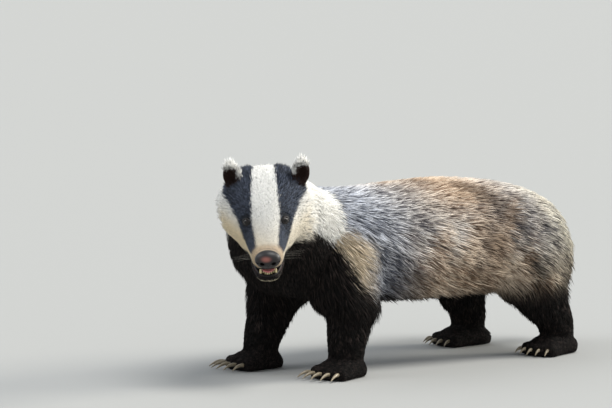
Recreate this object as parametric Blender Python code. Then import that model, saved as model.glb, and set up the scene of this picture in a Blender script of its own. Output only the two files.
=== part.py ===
"""European badger, life size: it stands on four feet and turns its head to its left.

Metres, +Z up. The badger faces -X, so its left side is -Y. The origin is on the floor, under the
middle of its bounding box. Each named part of the body is one object. Parts that meet keep a gap.
"""

import math
import random

import bmesh
import bpy
import numpy as np
from mathutils import Matrix, Vector
from mathutils.bvhtree import BVHTree

# Driving dimensions of an adult, with the coat
CM = 0.01
GAP = 0.0003
HEAD_YAW = math.radians(52)
HEAD_PITCH = math.radians(23)
HEAD_ROLL = math.radians(3)
EYE_MIDDLE = Vector((-0.345, -0.109, 0.234))
EYE_RADIUS = 0.0056
FORE_CLAW = 0.026
HIND_CLAW = 0.015
TOES = 5
WRIST_HEIGHT = 0.034

# The coat: its depth over the core, and the locks that show its lie
COAT = 0.011
ROOT_DEPTH = 0.006
LOCK_STEPS = 3
WEAK_LIE = 0.5
SEED = 7
# For each region: how far apart the locks stand, their length, width and ridge, and the lift of their tips
LOCKS = {
    "trunk": (0.051, 0.088, 0.046, 0.0050, 0.0115),
    "cheek": (0.026, 0.044, 0.028, 0.0040, 0.0090),
    "tail": (0.030, 0.052, 0.030, 0.0040, 0.0095),
}

UP = Vector((0, 0, 1))
SIDES = {"left": -1, "right": 1}


# Finishes: what each part is covered with, its colour in sRGB hex and its roughness
FINISHES = {
    "head": ("face_fur", "D6D0C3", 0.85),
    "lower_jaw": ("jaw_fur", "3B3531", 0.85),
    "tongue": ("tongue", "B06A6C", 0.35),
    "nose": ("nose_skin", "2B2627", 0.35),
    "eye": ("eye_gloss", "0C0A09", 0.08),
    "ear": ("ear_fur", "2A2624", 0.85),
    "neck": ("neck_fur", "857E76", 0.9),
    "torso": ("body_fur", "7F766C", 0.9),
    "fore": ("leg_fur", "1B1918", 0.85),
    "hind": ("leg_fur", "1B1918", 0.85),
    "claw": ("claw_horn", "6A6054", 0.45),
    "tail": ("tail_fur", "A79D8D", 0.9),
}


def clear_scene():
    for obj in list(bpy.data.objects):
        bpy.data.objects.remove(obj, do_unlink=True)


def material(name, hex_colour, roughness):
    """A Principled finish of one colour, given as an sRGB hex value."""
    made = bpy.data.materials.new(name)
    made.use_nodes = True
    shader = made.node_tree.nodes["Principled BSDF"]
    channels = [int(hex_colour[i:i + 2], 16) / 255 for i in (0, 2, 4)]
    linear = [c / 12.92 if c <= 0.04045 else ((c + 0.055) / 1.055) ** 2.4 for c in channels]
    shader.inputs["Base Color"].default_value = (*linear, 1)
    shader.inputs["Roughness"].default_value = roughness
    shader.inputs["Metallic"].default_value = 0
    return made


def new_object(name, mesh):
    made = bpy.data.objects.new(name, mesh)
    bpy.context.scene.collection.objects.link(made)
    return made


def mesh_from(name, points, faces):
    """A mesh object of triangles that face outwards."""
    mesh = bpy.data.meshes.new(name)
    mesh.from_pydata([tuple(p) for p in points], [], faces)
    shell = bmesh.new()
    shell.from_mesh(mesh)
    bmesh.ops.recalc_face_normals(shell, faces=shell.faces)
    bmesh.ops.triangulate(shell, faces=shell.faces)
    shell.to_mesh(mesh)
    shell.free()
    return new_object(name, mesh)


# Lofts: rings read off a smooth curve through named stations

def along_curve(rows, steps):
    """Rows of numbers at even steps along a Catmull-Rom curve through the given rows."""
    rows = np.array(rows, float)
    padded = np.vstack([2 * rows[0] - rows[1], rows, 2 * rows[-1] - rows[-2]])
    spans = len(rows) - 1
    found = []
    for k in range(steps + 1):
        place = k / steps * spans
        i = min(int(place), spans - 1)
        t = place - i
        a, b, c, d = padded[i:i + 4]
        found.append(0.5 * (2 * b + (c - a) * t + (2 * a - 5 * b + 4 * c - d) * t ** 2
                            + (3 * b - a - 3 * c + d) * t ** 3))
    return found


def read_rings(rows, steps, along=None):
    """Rings of a form as (centre, direction, half width, up, down, squareness)."""
    read = along_curve(rows, steps)
    centres = [Vector(r[:3]) for r in read]
    rings = []
    for k, r in enumerate(read):
        ahead = centres[min(k + 1, steps)] - centres[max(k - 1, 0)]
        rings.append((centres[k], along or ahead.normalized(), *r[3:]))
    return rings


def ring_points(ring, across, sides):
    """A superellipse across the path. Its upper and lower halves have heights of their own."""
    centre, along, width, up, down, square = ring
    side = (across - across.dot(along) * along).normalized()
    top = side.cross(along)
    points = []
    for k in range(sides):
        angle = 2 * math.pi * k / sides
        c, s = math.cos(angle), math.sin(angle)
        x = math.copysign(abs(c) ** (2 / square), c) * width
        y = math.copysign(abs(s) ** (2 / square), s) * (up if s > 0 else down)
        points.append(centre + side * x + top * y)
    return points


def loft(name, rings, sides, across=None, flat=(False, False)):
    """A closed form through rings. A flat end is a planar face, and the other kind runs to a pole."""
    points, faces = [], []
    for ring in rings:
        points += ring_points(ring, across or ring[1].cross(UP), sides)
    for k in range(len(rings) - 1):
        for j in range(sides):
            n = (j + 1) % sides
            faces.append((k * sides + j, k * sides + n, (k + 1) * sides + n, (k + 1) * sides + j))
    for ring, sign, is_flat in ((rings[0], -1, flat[0]), (rings[-1], 1, flat[1])):
        first = 0 if sign < 0 else (len(rings) - 1) * sides
        loop = [first + j for j in range(sides)]
        if is_flat:
            faces.append(tuple(loop))
            continue
        points.append(ring[0] + ring[1] * sign * min(ring[2:5]) * 0.35)
        tip = len(points) - 1
        faces += [(loop[j], loop[(j + 1) % sides], tip) for j in range(sides)]
    return mesh_from(name, points, faces)


def shifted(ring, by):
    """The same ring moved along its own direction."""
    return (ring[0] + ring[1] * by, *ring[1:])


def ball(name, centre, radii, turn=None, segments=20, rows=12):
    """An ellipsoid, turned by a matrix about its centre."""
    mesh = bpy.data.meshes.new(name)
    shell = bmesh.new()
    bmesh.ops.create_uvsphere(shell, u_segments=segments, v_segments=rows, radius=1)
    turned = turn.to_4x4() if turn else Matrix.Identity(4)
    place = Matrix.Translation(centre) @ turned @ Matrix.Diagonal((*radii, 1))
    bmesh.ops.transform(shell, matrix=place, verts=shell.verts)
    bmesh.ops.recalc_face_normals(shell, faces=shell.faces)
    shell.to_mesh(mesh)
    shell.free()
    return new_object(name, mesh)


# Joining and cutting

def grown(obj, by=GAP):
    """A copy of a closed form, each of its points moved out by the same distance."""
    mesh = obj.data.copy()
    shell = bmesh.new()
    shell.from_mesh(mesh)
    shell.normal_update()
    moves = [v.normal * by for v in shell.verts]
    for v, move in zip(shell.verts, moves):
        v.co += move
    shell.to_mesh(mesh)
    shell.free()
    return new_object("grown_" + obj.name, mesh)


def bake(obj):
    """Applies an object's modifiers."""
    bpy.context.view_layer.update()
    graph = bpy.context.evaluated_depsgraph_get()
    result = bpy.data.meshes.new_from_object(obj.evaluated_get(graph))
    obj.modifiers.clear()
    obj.data = result


def combine(obj, others, operation, solver="EXACT"):
    """One Boolean on a collection of closed mesh objects, applied, with those objects removed."""
    group = bpy.data.collections.new("pieces")
    bpy.context.scene.collection.children.link(group)
    for other in others:
        group.objects.link(other)
    boolean = obj.modifiers.new("join", "BOOLEAN")
    boolean.operation = operation
    boolean.solver = solver
    boolean.operand_type = "COLLECTION"
    boolean.collection = group
    bake(obj)
    for other in others:
        bpy.data.objects.remove(other, do_unlink=True)
    bpy.data.collections.remove(group)
    keep_largest(obj, weld=solver == "EXACT")
    return obj


def keep_largest(obj, weld):
    """Drops every closed surface but the largest. The exact solver's seams want a weld first."""
    shell = bmesh.new()
    shell.from_mesh(obj.data)
    if weld:
        bmesh.ops.remove_doubles(shell, verts=shell.verts, dist=1e-6)
    left = set(shell.faces)
    islands = []
    while left:
        stack = [left.pop()]
        island = list(stack)
        while stack:
            face = stack.pop()
            near = {f for e in face.edges for f in e.link_faces} & left
            left -= near
            stack += near
            island += near
        islands.append(island)
    islands.sort(key=lambda faces: -sum(f.calc_area() for f in faces))
    for island in islands[1:]:
        bmesh.ops.delete(shell, geom=island, context="FACES")
    shell.to_mesh(obj.data)
    shell.free()


def room_for(obj, core):
    """The space a part needs clear of the coat: its own form, a little larger, but not into the core."""
    return combine(grown(obj), [grown(core, GAP / 3)], "DIFFERENCE", "MANIFOLD")


def settle(obj):
    """Splits faces into triangles, and drops the fins this leaves at slivers: two on the same corners."""
    shell = bmesh.new()
    shell.from_mesh(obj.data)
    bmesh.ops.triangulate(shell, faces=shell.faces)
    by_corners = {}
    for face in shell.faces:
        by_corners.setdefault(frozenset(face.verts), []).append(face)
    fins = [face for same in by_corners.values() if len(same) > 1 for face in same]
    bmesh.ops.delete(shell, geom=fins, context="FACES")
    shell.to_mesh(obj.data)
    shell.free()


def half_space(point, normal):
    """A large box on the side of a plane that its normal points to."""
    reach = 1.0
    turn = normal.to_track_quat("Z", "Y").to_matrix().to_4x4()
    mesh = bpy.data.meshes.new("half_space")
    shell = bmesh.new()
    bmesh.ops.create_cube(shell, size=reach)
    place = Matrix.Translation(point + normal * reach / 2) @ turn
    bmesh.ops.transform(shell, matrix=place, verts=shell.verts)
    shell.to_mesh(mesh)
    shell.free()
    return new_object("half_space", mesh)


# The head's own frame: s to its right, f forward, u up, with its zero midway between the eyes

def head_frame():
    level = Vector((-math.cos(HEAD_YAW), -math.sin(HEAD_YAW), 0))
    forward = level * math.cos(HEAD_PITCH) - UP * math.sin(HEAD_PITCH)
    right = level.cross(UP)
    up = right.cross(forward)
    turn = Matrix((right, forward, up)).transposed().to_4x4()
    roll = Matrix.Rotation(HEAD_ROLL, 4, forward)
    return Matrix.Translation(EYE_MIDDLE) @ roll @ turn


HEAD = head_frame()
HEAD_RIGHT, HEAD_FORWARD, HEAD_UP = (HEAD.to_3x3().col[i].normalized() for i in range(3))


def in_head(s, f, u):
    """A point given in centimetres in the head's frame."""
    return HEAD @ Vector((s * CM, f * CM, u * CM))


def head_rings(stations, steps):
    """Stations of f, u, half width, height up, height down and squareness, as rings."""
    rows = [(*in_head(0, f, u), w * CM, up * CM, down * CM, square)
            for f, u, w, up, down, square in stations]
    return read_rings(rows, steps, along=-HEAD_FORWARD)


def head_tube(name, path, radii, sides=6):
    """A closed tube through points of the head's frame, with a radius in centimetres at each."""
    rows = [(*in_head(*p), r * CM, r * CM, r * CM, 2) for p, r in zip(path, radii)]
    return loft(name, read_rings(rows, 2 * (len(rows) - 1)), sides, across=HEAD_UP)


# Where the head is cut from the neck: a point of the plane and its direction, in the head's frame
THROAT = (0, -4.0, -6.5)
HEAD_CUT = (0, 0.925, 0.378)
# f, u, half width, up, down, squareness, in centimetres from the nose back
SKULL = [
    (7.1, -2.4, 1.45, 0.95, 1.05, 2.2),
    (6.3, -2.5, 2.00, 1.45, 1.45, 2.4),
    (4.7, -2.6, 2.40, 2.10, 1.65, 2.4),
    (3.1, -2.6, 2.65, 2.80, 2.00, 2.3),
    (1.5, -2.5, 3.00, 3.50, 3.40, 2.1),
    (0.0, -2.2, 3.75, 4.20, 4.30, 2.1),
    (-2.0, -1.6, 4.85, 4.85, 4.45, 2.2),
    (-4.0, -1.3, 5.50, 5.35, 4.60, 2.4),
    (-6.0, -1.1, 5.80, 5.55, 4.40, 2.4),
    (-8.0, -1.1, 5.35, 5.05, 4.00, 2.3),
    (-9.6, -1.1, 4.20, 3.80, 3.00, 2.2),
]
JAW = [
    (6.2, -5.55, 1.25, 0.40, 0.60, 2.2),
    (5.4, -5.55, 1.65, 0.55, 0.80, 2.3),
    (4.0, -5.40, 2.00, 0.70, 0.90, 2.3),
    (2.5, -5.15, 2.30, 0.80, 0.95, 2.2),
    (0.8, -4.90, 2.30, 0.80, 0.95, 2.1),
]
EYE_PLACE = (2.45, 0.50, 0.08)
EYE_LOOK = Vector((0.62, 0.70, 0.32)).normalized()
LID_RADIUS = 0.15
LID_HALF = (0.58, 0.46)
EAR_PLACE = (4.50, -5.6, 4.65)
EAR_RADII = (1.40, 0.80, 2.05)
EAR_CUP = (0.84, 0.78, 1.15)
EAR_SPLAY = math.radians(14)
NOSE_PLACE = (0, 6.95, -2.20)
NOSE_RADII = (1.70, 1.05, 1.26)
NOSTRIL_PLACE = (0.76, 7.72, -2.38)
LIP_RADIUS = 0.24
# The right half of each lip, from the middle back to the corner of the mouth
UPPER_LIP = [(0.45, 6.62, -3.52), (1.10, 6.35, -3.62), (1.65, 5.4, -3.80), (1.95, 4.0, -4.00),
             (2.10, 2.4, -4.25)]
LOWER_LIP = [(0.40, 6.20, -5.31), (0.95, 6.00, -5.25), (1.40, 5.3, -5.15), (1.75, 4.2, -4.95),
             (1.95, 2.8, -4.75)]


def mirrored(point, side):
    """A point of the head's frame, on the left or the right."""
    return (point[0] * side, *point[1:])


def eye_turn(side):
    """A frame whose Z looks out of the eye, whose X lies across it and whose Y is up."""
    look = HEAD.to_3x3() @ Vector((EYE_LOOK.x * side, EYE_LOOK.y, EYE_LOOK.z))
    look.normalize()
    across = HEAD_UP.cross(look).normalized()
    return Matrix((across, look.cross(across), look)).transposed()


def lids(side):
    """The upper and the lower lid, one ring round the eye."""
    centre, turn = in_head(*mirrored(EYE_PLACE, side)), eye_turn(side)
    loop, sides = 14, 5
    points, faces = [], []
    for k in range(loop):
        a = 2 * math.pi * k / loop
        out = Vector((math.cos(a) * LID_HALF[0], math.sin(a) * LID_HALF[1], 0)) * CM
        middle = out + Vector((0, 0, 0.20 * CM))
        for j in range(sides):
            b = 2 * math.pi * j / sides
            step = out.normalized() * math.cos(b) + Vector((0, 0, math.sin(b)))
            points.append(centre + turn @ (middle + step * LID_RADIUS * CM))
    for k in range(loop):
        for j in range(sides):
            a, b = k * sides, (k + 1) % loop * sides
            n = (j + 1) % sides
            faces.append((a + j, a + n, b + n, b + j))
    return mesh_from("lids", points, faces)


def lip(name, path):
    """A soft rim from one corner of the mouth round its front to the other. The path is the right half."""
    left = [mirrored(p, -1) for p in reversed(path)]
    slim = [LIP_RADIUS * (0.75 if k in (0, 2 * len(path) - 1) else 1) for k in range(2 * len(path))]
    return head_tube(name, left + path, slim)


def lower_teeth():
    """Six small front teeth and two canines, rooted in the lower jaw."""
    made = []
    for k in range(6):
        s = (k - 2.5) * 0.26
        f = 6.12 - 0.12 * abs(k - 2.5) ** 1.5
        rows = [(*in_head(s, f - 0.10, -5.40), 0.11 * CM, 0.08 * CM, 0.08 * CM, 3),
                (*in_head(s, f, -4.95), 0.09 * CM, 0.05 * CM, 0.05 * CM, 3)]
        made.append(loft("incisor", read_rings(rows, 1), 6, across=HEAD_RIGHT))
    for side in SIDES.values():
        path = [(1.00 * side, 5.70, -5.4), (1.05 * side, 5.72, -4.9), (1.12 * side, 5.60, -4.40)]
        made.append(head_tube("canine", path, [0.17, 0.15, 0.04]))
    return made


def make_ear(name, core):
    """A rounded ear with its cup, seated on the skull. Returns its room."""
    side = SIDES[name]
    place = in_head(*mirrored(EAR_PLACE, side))
    splay = HEAD.to_3x3() @ Matrix.Rotation(-EAR_SPLAY * side, 3, "Z") \
        @ Matrix.Rotation(math.radians(8) * side, 3, "Y")
    ear = ball("ear_" + name, place, [r * CM for r in EAR_RADII], splay, 14, 9)
    room = room_for(ear, core)
    cup_place = place + splay @ Vector((0, 0.62 * CM, 0))
    cup = ball("cup", cup_place, [r * CM for r in EAR_CUP], splay, 10, 7)
    combine(ear, [cup], "DIFFERENCE")
    combine(ear, [grown(core)], "DIFFERENCE")
    return room


def make_head(skull, core):
    """Lids and lips on the skull, the lower jaw with teeth, the tongue, the nose and the eyes."""
    jaw = loft("lower_jaw", head_rings(JAW, 6), 12, across=-HEAD_RIGHT)
    combine(jaw, [lip("lower_lip", LOWER_LIP), *lower_teeth()], "UNION")
    combine(skull, [lip("upper_lip", UPPER_LIP), *(lids(s) for s in SIDES.values())], "UNION",
            "MANIFOLD")
    nose = ball("nose", in_head(*NOSE_PLACE), [r * CM for r in NOSE_RADII], HEAD.to_3x3(), 16, 10)
    socket = grown(nose)

    level = -4.62
    tongue = head_tube("tongue", [(0, 3.0, level), (0, 4.4, level), (0, 5.35, level), (0, 5.7, level)],
                       [0.70, 0.95, 0.75, 0.35], sides=12)
    flatten = HEAD @ Matrix.Translation((0, 0, level * CM)) @ Matrix.Diagonal((1, 1, 0.32, 1)) \
        @ Matrix.Translation((0, 0, -level * CM)) @ HEAD.inverted()
    tongue.data.transform(flatten)
    eyes = {}
    for name, side in SIDES.items():
        place = in_head(*mirrored(EYE_PLACE, side))
        eyes[name] = ball("eye_" + name, place, [EYE_RADIUS] * 3, eye_turn(side), 12, 8)
    nostrils = []
    for side in SIDES.values():
        s, f, u = mirrored(NOSTRIL_PLACE, side)
        nostrils.append(ball("nostril", in_head(s, f, u), (0.34 * CM, 0.55 * CM, 0.26 * CM),
                             HEAD.to_3x3(), 8, 6))
        nostrils.append(ball("slit", in_head(s + 0.50 * side, f - 0.32, u - 0.02),
                             (0.42 * CM, 0.30 * CM, 0.11 * CM), HEAD.to_3x3(), 8, 5))
    combine(nose, nostrils, "DIFFERENCE")
    combine(skull, [socket, grown(jaw), *(grown(e) for e in eyes.values())], "DIFFERENCE",
            "MANIFOLD")
    combine(tongue, [grown(jaw), grown(core)], "DIFFERENCE")


# x, y, z, half width, up, down, squareness: from the rump to the base of the neck, and on to the head
TRUNK = [
    (0.264, 0.000, 0.166, 0.032, 0.030, 0.036, 2.0),
    (0.246, 0.000, 0.166, 0.072, 0.052, 0.060, 2.2),
    (0.200, 0.000, 0.165, 0.104, 0.072, 0.074, 2.3),
    (0.130, 0.000, 0.169, 0.113, 0.083, 0.083, 2.3),
    (0.045, 0.000, 0.171, 0.110, 0.087, 0.085, 2.3),
    (-0.050, 0.000, 0.172, 0.104, 0.084, 0.083, 2.3),
    (-0.130, 0.000, 0.176, 0.098, 0.080, 0.080, 2.3),
    (-0.190, -0.004, 0.187, 0.093, 0.077, 0.086, 2.2),
    (-0.236, -0.018, 0.207, 0.083, 0.069, 0.086, 2.2),
    (-0.268, -0.040, 0.228, 0.073, 0.063, 0.078, 2.2),
    (-0.297, -0.062, 0.243, 0.063, 0.054, 0.068, 2.2),
    (-0.322, -0.086, 0.245, 0.044, 0.038, 0.046, 2.1),
]
NECK_BASE = 8
PER_STATION = 3
SHOULDER = ((-0.172, 0.062, 0.150), (0.052, 0.040, 0.066))
THIGH = ((0.178, 0.066, 0.140), (0.062, 0.044, 0.070))
FINE, SOFTEN, BODY_TRIANGLES = 0.0055, 7, 2150

# How steeply the coat runs down the flanks, by x, and the angles round the body where locks grow
SLOPE = [(-0.30, 1.5), (-0.20, 1.1), (-0.10, 0.6), (0.05, 0.40), (0.15, 0.55), (0.25, 1.3)]
LOW_ANGLE = math.radians(-42)


def coat_rings(inset=COAT):
    """The trunk's rings, each drawn in from the coat's outline."""
    rings = read_rings(TRUNK, PER_STATION * (len(TRUNK) - 1))
    return [(c, d, w - inset, up - inset, down - inset, q) for c, d, w, up, down, q in rings]


def soften(obj):
    """Blends the joined forms into one skin: an even grid of faces, smoothed."""
    grid = obj.modifiers.new("grid", "REMESH")
    grid.mode = "VOXEL"
    grid.voxel_size = FINE
    smooth = obj.modifiers.new("smooth", "SMOOTH")
    smooth.factor = 0.6
    smooth.iterations = SOFTEN
    bake(obj)


def thin_out(obj, triangles):
    """Brings an even skin down to about so many triangles."""
    obj.data.calc_loop_triangles()
    thin = obj.modifiers.new("thin", "DECIMATE")
    thin.ratio = triangles / len(obj.data.loop_triangles)
    bake(obj)
    settle(obj)


def cut_between(obj, name, point, normal):
    """Parts a form by a thin cut. The object keeps what lies behind, and the new one what lies ahead."""
    ahead = new_object(name, obj.data.copy())
    combine(ahead, [half_space(point + normal * GAP / 2, -normal)], "DIFFERENCE", "MANIFOLD")
    combine(obj, [half_space(point - normal * GAP / 2, normal)], "DIFFERENCE", "MANIFOLD")
    return ahead


def make_core():
    """The trunk, neck and skull modelled whole, without the coat."""
    body = loft("core", coat_rings(), 30)
    bulges = [ball("bulge", Vector((x, y * side, z)), radii, None, 20, 14)
              for (x, y, z), radii in (SHOULDER, THIGH) for side in SIDES.values()]
    skull = loft("skull", head_rings(SKULL, 30), 28, across=-HEAD_RIGHT)
    combine(body, [*bulges, skull], "UNION")
    soften(body)
    return body


def part_body(body):
    """Parts the whole body into torso, neck and head."""
    base = coat_rings()[PER_STATION * NECK_BASE]
    neck = cut_between(body, "neck", base[0], base[1])
    forward = (HEAD.to_3x3() @ Vector(HEAD_CUT)).normalized()
    head = cut_between(neck, "head", in_head(*THROAT), forward)
    return neck, head


# The locks of the coat

def surface_of(obj):
    """The surface of a form, ready to be searched for its nearest point."""
    shell = bmesh.new()
    shell.from_mesh(obj.data)
    tree = BVHTree.FromBMesh(shell)
    shell.free()
    return tree


def lock(surface, place, lie, size, draw):
    """A flat tapered blade. Its root is sunk in the skin, and it follows the lie with a rising tip.

    There is none where the lie meets the skin head on, as under the rump, because it would fold.
    """
    _, length, width, ridge, lift = size
    length *= draw.uniform(0.85, 1.2)
    width *= draw.uniform(0.9, 1.1)
    lift *= draw.uniform(0.75, 1.0)
    veer = draw.uniform(-0.14, 0.14)
    points, faces = [], []
    for k in range(LOCK_STEPS + 1):
        t = k / LOCK_STEPS
        skin, normal, *_ = surface.find_nearest(place)
        ahead = lie(skin).normalized()
        ahead = ahead - normal * ahead.dot(normal)
        if ahead.length < WEAK_LIE:
            return None
        ahead.normalize()
        ahead = (ahead + normal.cross(ahead) * veer * (1 + t)).normalized()
        side = normal.cross(ahead)
        height = (ROOT_DEPTH + lift) * t ** 0.8 - ROOT_DEPTH
        half = width / 2 * (0.75 + 1.4 * t - 2.15 * t ** 2)
        if k == LOCK_STEPS:
            points.append(skin + normal * height)
            break
        for way in (-1, 1):
            edge, out, *_ = surface.find_nearest(skin + side * half * way)
            points.append(edge + out * (height - 0.002))
        points.append(skin + normal * (height + ridge * (1 - t / 2)))
        place = skin + ahead * length / LOCK_STEPS
    for k in range(LOCK_STEPS - 1):
        for j in range(3):
            n = (j + 1) % 3
            faces.append((3 * k + j, 3 * k + n, 3 * k + 3 + n, 3 * k + 3 + j))
    last = 3 * (LOCK_STEPS - 1)
    faces.append((0, 1, 2))
    faces += [(last + j, last + (j + 1) % 3, last + 3) for j in range(3)]
    return mesh_from("lock", points, faces)


def trunk_lie(point):
    """The coat runs back along the body, down its flanks, and straight down over the rump."""
    ring = min(coat_rings(), key=lambda r: (r[0] - point).length)
    slope = np.interp(point.x, *zip(*SLOPE))
    return -ring[1] - UP * slope


def cheek_lie(_):
    """The ruff runs back from the muzzle and down."""
    return -HEAD_FORWARD - 0.5 * HEAD_UP


def tail_lie(point):
    return min(read_rings(TAIL, TAIL_STEPS), key=lambda r: (r[0] - point).length)[1]


def trunk_roots(draw):
    """Places on the trunk's rings, row by row and staggered, with a fan over the rump."""
    rings = coat_rings()
    spacing = LOCKS["trunk"][0]
    fans = [(rings[3], 1.2), (rings[3], 0.7)]
    travelled, wanted = 0.0, 0.0
    rows = []
    for k in range(3, PER_STATION * (len(TRUNK) - 3)):
        travelled += (rings[k + 1][0] - rings[k][0]).length
        if travelled >= wanted:
            rows.append((rings[k], 0.0))
            wanted += spacing
    for row, (ring, lean) in enumerate(fans + rows):
        centre, along, width, up, *_ = ring
        side = along.cross(UP).normalized()
        top = side.cross(along)
        round_way = (math.pi - 2 * LOW_ANGLE) * (width + up) / 2 * math.cos(lean)
        count = max(3, round(round_way / (spacing * 0.92)))
        for k in range(count + row % 2):
            share = (k + (0 if row % 2 else 0.5)) / count + draw.uniform(-0.25, 0.25) / count
            angle = LOW_ANGLE + (math.pi - 2 * LOW_ANGLE) * share
            out = side * math.cos(angle) + top * math.sin(angle)
            yield centre, (out * math.cos(lean) - along * math.sin(lean)).normalized()


def cheek_roots(draw):
    """Places on both cheeks, from under the eye back to the neck."""
    spacing = LOCKS["cheek"][0] / CM
    for side in SIDES.values():
        for row in range(3):
            f = -2.2 - row * spacing * 0.9
            for k in range(3):
                u = 0.4 - k * spacing * 0.8 - row % 2 * 0.8
                place = in_head(0, f + draw.uniform(-0.3, 0.3), u + draw.uniform(-0.3, 0.3))
                yield place, HEAD_RIGHT * side


def tail_roots(draw):
    """Places round the tail, but not on the side that lies on the rump."""
    rings = read_rings(TAIL, TAIL_STEPS)
    for row, ring in enumerate(rings[3:12:3]):
        centre, along, *_ = ring
        side = Vector((0, 1, 0))
        back = along.cross(side)
        for k in range(4):
            angle = math.radians(-90 + 55 * k + row % 2 * 25) + draw.uniform(-0.15, 0.15)
            yield centre, side * math.sin(angle) + back * math.cos(angle)


def grow_locks(kind, surface, roots, lie):
    """Roots locks where lines from inside the form leave its skin, and returns them."""
    draw = random.Random(SEED + len(kind))
    made = []
    for inside, out in roots(draw):
        found, *_ = surface.ray_cast(inside, out)
        if found:
            made.append(lock(surface, found, lie, LOCKS[kind], draw))
    return [blade for blade in made if blade]


# The legs: x, distance out from the middle, z, half width, front, back, squareness, top to bottom
FORE_LEG = [
    (-0.168, 0.054, 0.165, 0.036, 0.048, 0.048, 2),
    (-0.168, 0.066, 0.120, 0.036, 0.042, 0.042, 2),
    (-0.168, 0.073, 0.088, 0.032, 0.035, 0.034, 2),
    (-0.174, 0.074, 0.060, 0.0285, 0.030, 0.029, 2),
    (-0.178, 0.074, WRIST_HEIGHT, 0.0255, 0.0265, 0.0265, 2),
]
HIND_LEG = [
    (0.180, 0.057, 0.160, 0.040, 0.054, 0.054, 2),
    (0.174, 0.070, 0.118, 0.039, 0.050, 0.048, 2),
    (0.184, 0.076, 0.086, 0.033, 0.040, 0.036, 2),
    (0.202, 0.077, 0.058, 0.0275, 0.030, 0.028, 2),
    (0.209, 0.077, WRIST_HEIGHT, 0.0250, 0.0265, 0.0260, 2),
]
# For each leg, how far it stands ahead of that plan
STANCE = {
    ("fore", "left"): 0.006,
    ("fore", "right"): -0.024,
    ("hind", "left"): 0.012,
    ("hind", "right"): -0.020,
}
# Feet: x from the ankle, half width, height of the back of the foot
FORE_FOOT = [(0.029, 0.012, 0.016), (0.018, 0.022, 0.026), (0.000, 0.0260, 0.031),
             (-0.019, 0.0290, 0.028), (-0.033, 0.0270, 0.021), (-0.040, 0.018, 0.014)]
HIND_FOOT = [(0.033, 0.012, 0.018), (0.020, 0.0215, 0.026), (0.000, 0.0250, 0.031),
             (-0.023, 0.0270, 0.028), (-0.037, 0.0245, 0.021), (-0.043, 0.016, 0.014)]
FOOT_AXIS_HEIGHT = 0.010
FOOT_SPLAY = math.radians(8)
TOE_FAN = math.radians(13)
TOE_LENGTH = 0.029


def make_leg(kind, side_name, core):
    """One leg down to the wrist or ankle, its foot with five toes, and the claws. Returns its room."""
    side = SIDES[side_name]
    stations = FORE_LEG if kind == "fore" else HIND_LEG
    shift = STANCE[kind, side_name]
    rows = [(x + shift * (0.165 - z) / 0.13, y * side, z, *sizes) for x, y, z, *sizes in stations]
    rings = read_rings(rows, 6)
    rings[-1] = (rings[-1][0], -UP, *rings[-1][2:])
    across = Vector((0, 1, 0))
    leg = loft(f"{kind}_leg_{side_name}", [*rings[:-1], shifted(rings[-1], -GAP)], 12, across,
               flat=(False, True))
    room = room_for(leg, core)
    combine(leg, [grown(core)], "DIFFERENCE")
    ankle = rings[-1][0]
    place = Matrix.Translation((ankle.x, ankle.y, 0)) @ Matrix.Rotation(-FOOT_SPLAY * side, 4, "Z")
    sole = FORE_FOOT if kind == "fore" else HIND_FOOT
    rows = [(*(place @ Vector((x, 0, FOOT_AXIS_HEIGHT))), w, h - FOOT_AXIS_HEIGHT,
             FOOT_AXIS_HEIGHT + 0.003, 2.4) for x, w, h in sole]
    foot_along = place.to_3x3() @ Vector((-1, 0, 0))
    foot = loft(f"{kind}_foot_{side_name}", read_rings(rows, 7, along=foot_along), 12)
    stub_low = (Vector((ankle.x, ankle.y, 0.012)), -UP, *[r * 1.02 for r in rings[-1][2:5]], 2)
    stub = loft("stub", [rings[-1], stub_low], 12, across, flat=(True, True))
    toes = []
    claw_length = FORE_CLAW if kind == "fore" else HIND_CLAW
    for k in range(TOES):
        spread = (k - (TOES - 1) / 2) / ((TOES - 1) / 2)
        toe = place @ Matrix.Translation((sole[-3][0], spread * sole[-3][1] * 0.70, 0)) \
            @ Matrix.Rotation(-spread * TOE_FAN, 4, "Z")
        length = TOE_LENGTH * (1 - 0.22 * spread ** 2)
        forward = toe.to_3x3() @ Vector((-1, 0, 0))
        rows = [(*(toe @ Vector((x, 0, z))), r, r, r + 0.002, 2) for x, z, r in (
            (0.006, 0.009, 0.0075), (-length * 0.5, 0.0100, 0.0078), (-length * 0.85, 0.0090, 0.0072),
            (-length, 0.0080, 0.0058))]
        toes.append(loft("toe", read_rings(rows, 3, along=forward), 7, flat=(True, True)))
        shape = ((0, 0.0085, 0.0034), (0.40, 0.0102, 0.0030), (0.75, 0.0075, 0.0020),
                 (1.0, 0.0032, 0.0007))
        rows = [(*(toe @ Vector((-length - GAP - t * claw_length, 0, z))), r * 0.85, r, r, 2)
                for t, z, r in shape]
        loft(f"claw_{kind}_{side_name}_{k + 1}", read_rings(rows, 3, along=forward), 6,
             flat=(True, False))
    combine(foot, [stub, *toes], "UNION")
    combine(foot, [half_space(Vector((0, 0, 0)), -UP)], "DIFFERENCE")
    return room


TAIL = [
    (0.230, 0.002, 0.196, 0.022, 0.022, 0.022, 2),
    (0.262, 0.004, 0.185, 0.025, 0.022, 0.022, 2),
    (0.286, 0.007, 0.156, 0.025, 0.019, 0.021, 2),
    (0.297, 0.010, 0.118, 0.022, 0.017, 0.019, 2),
    (0.294, 0.012, 0.080, 0.011, 0.010, 0.011, 2),
]


TAIL_STEPS = 12


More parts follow.
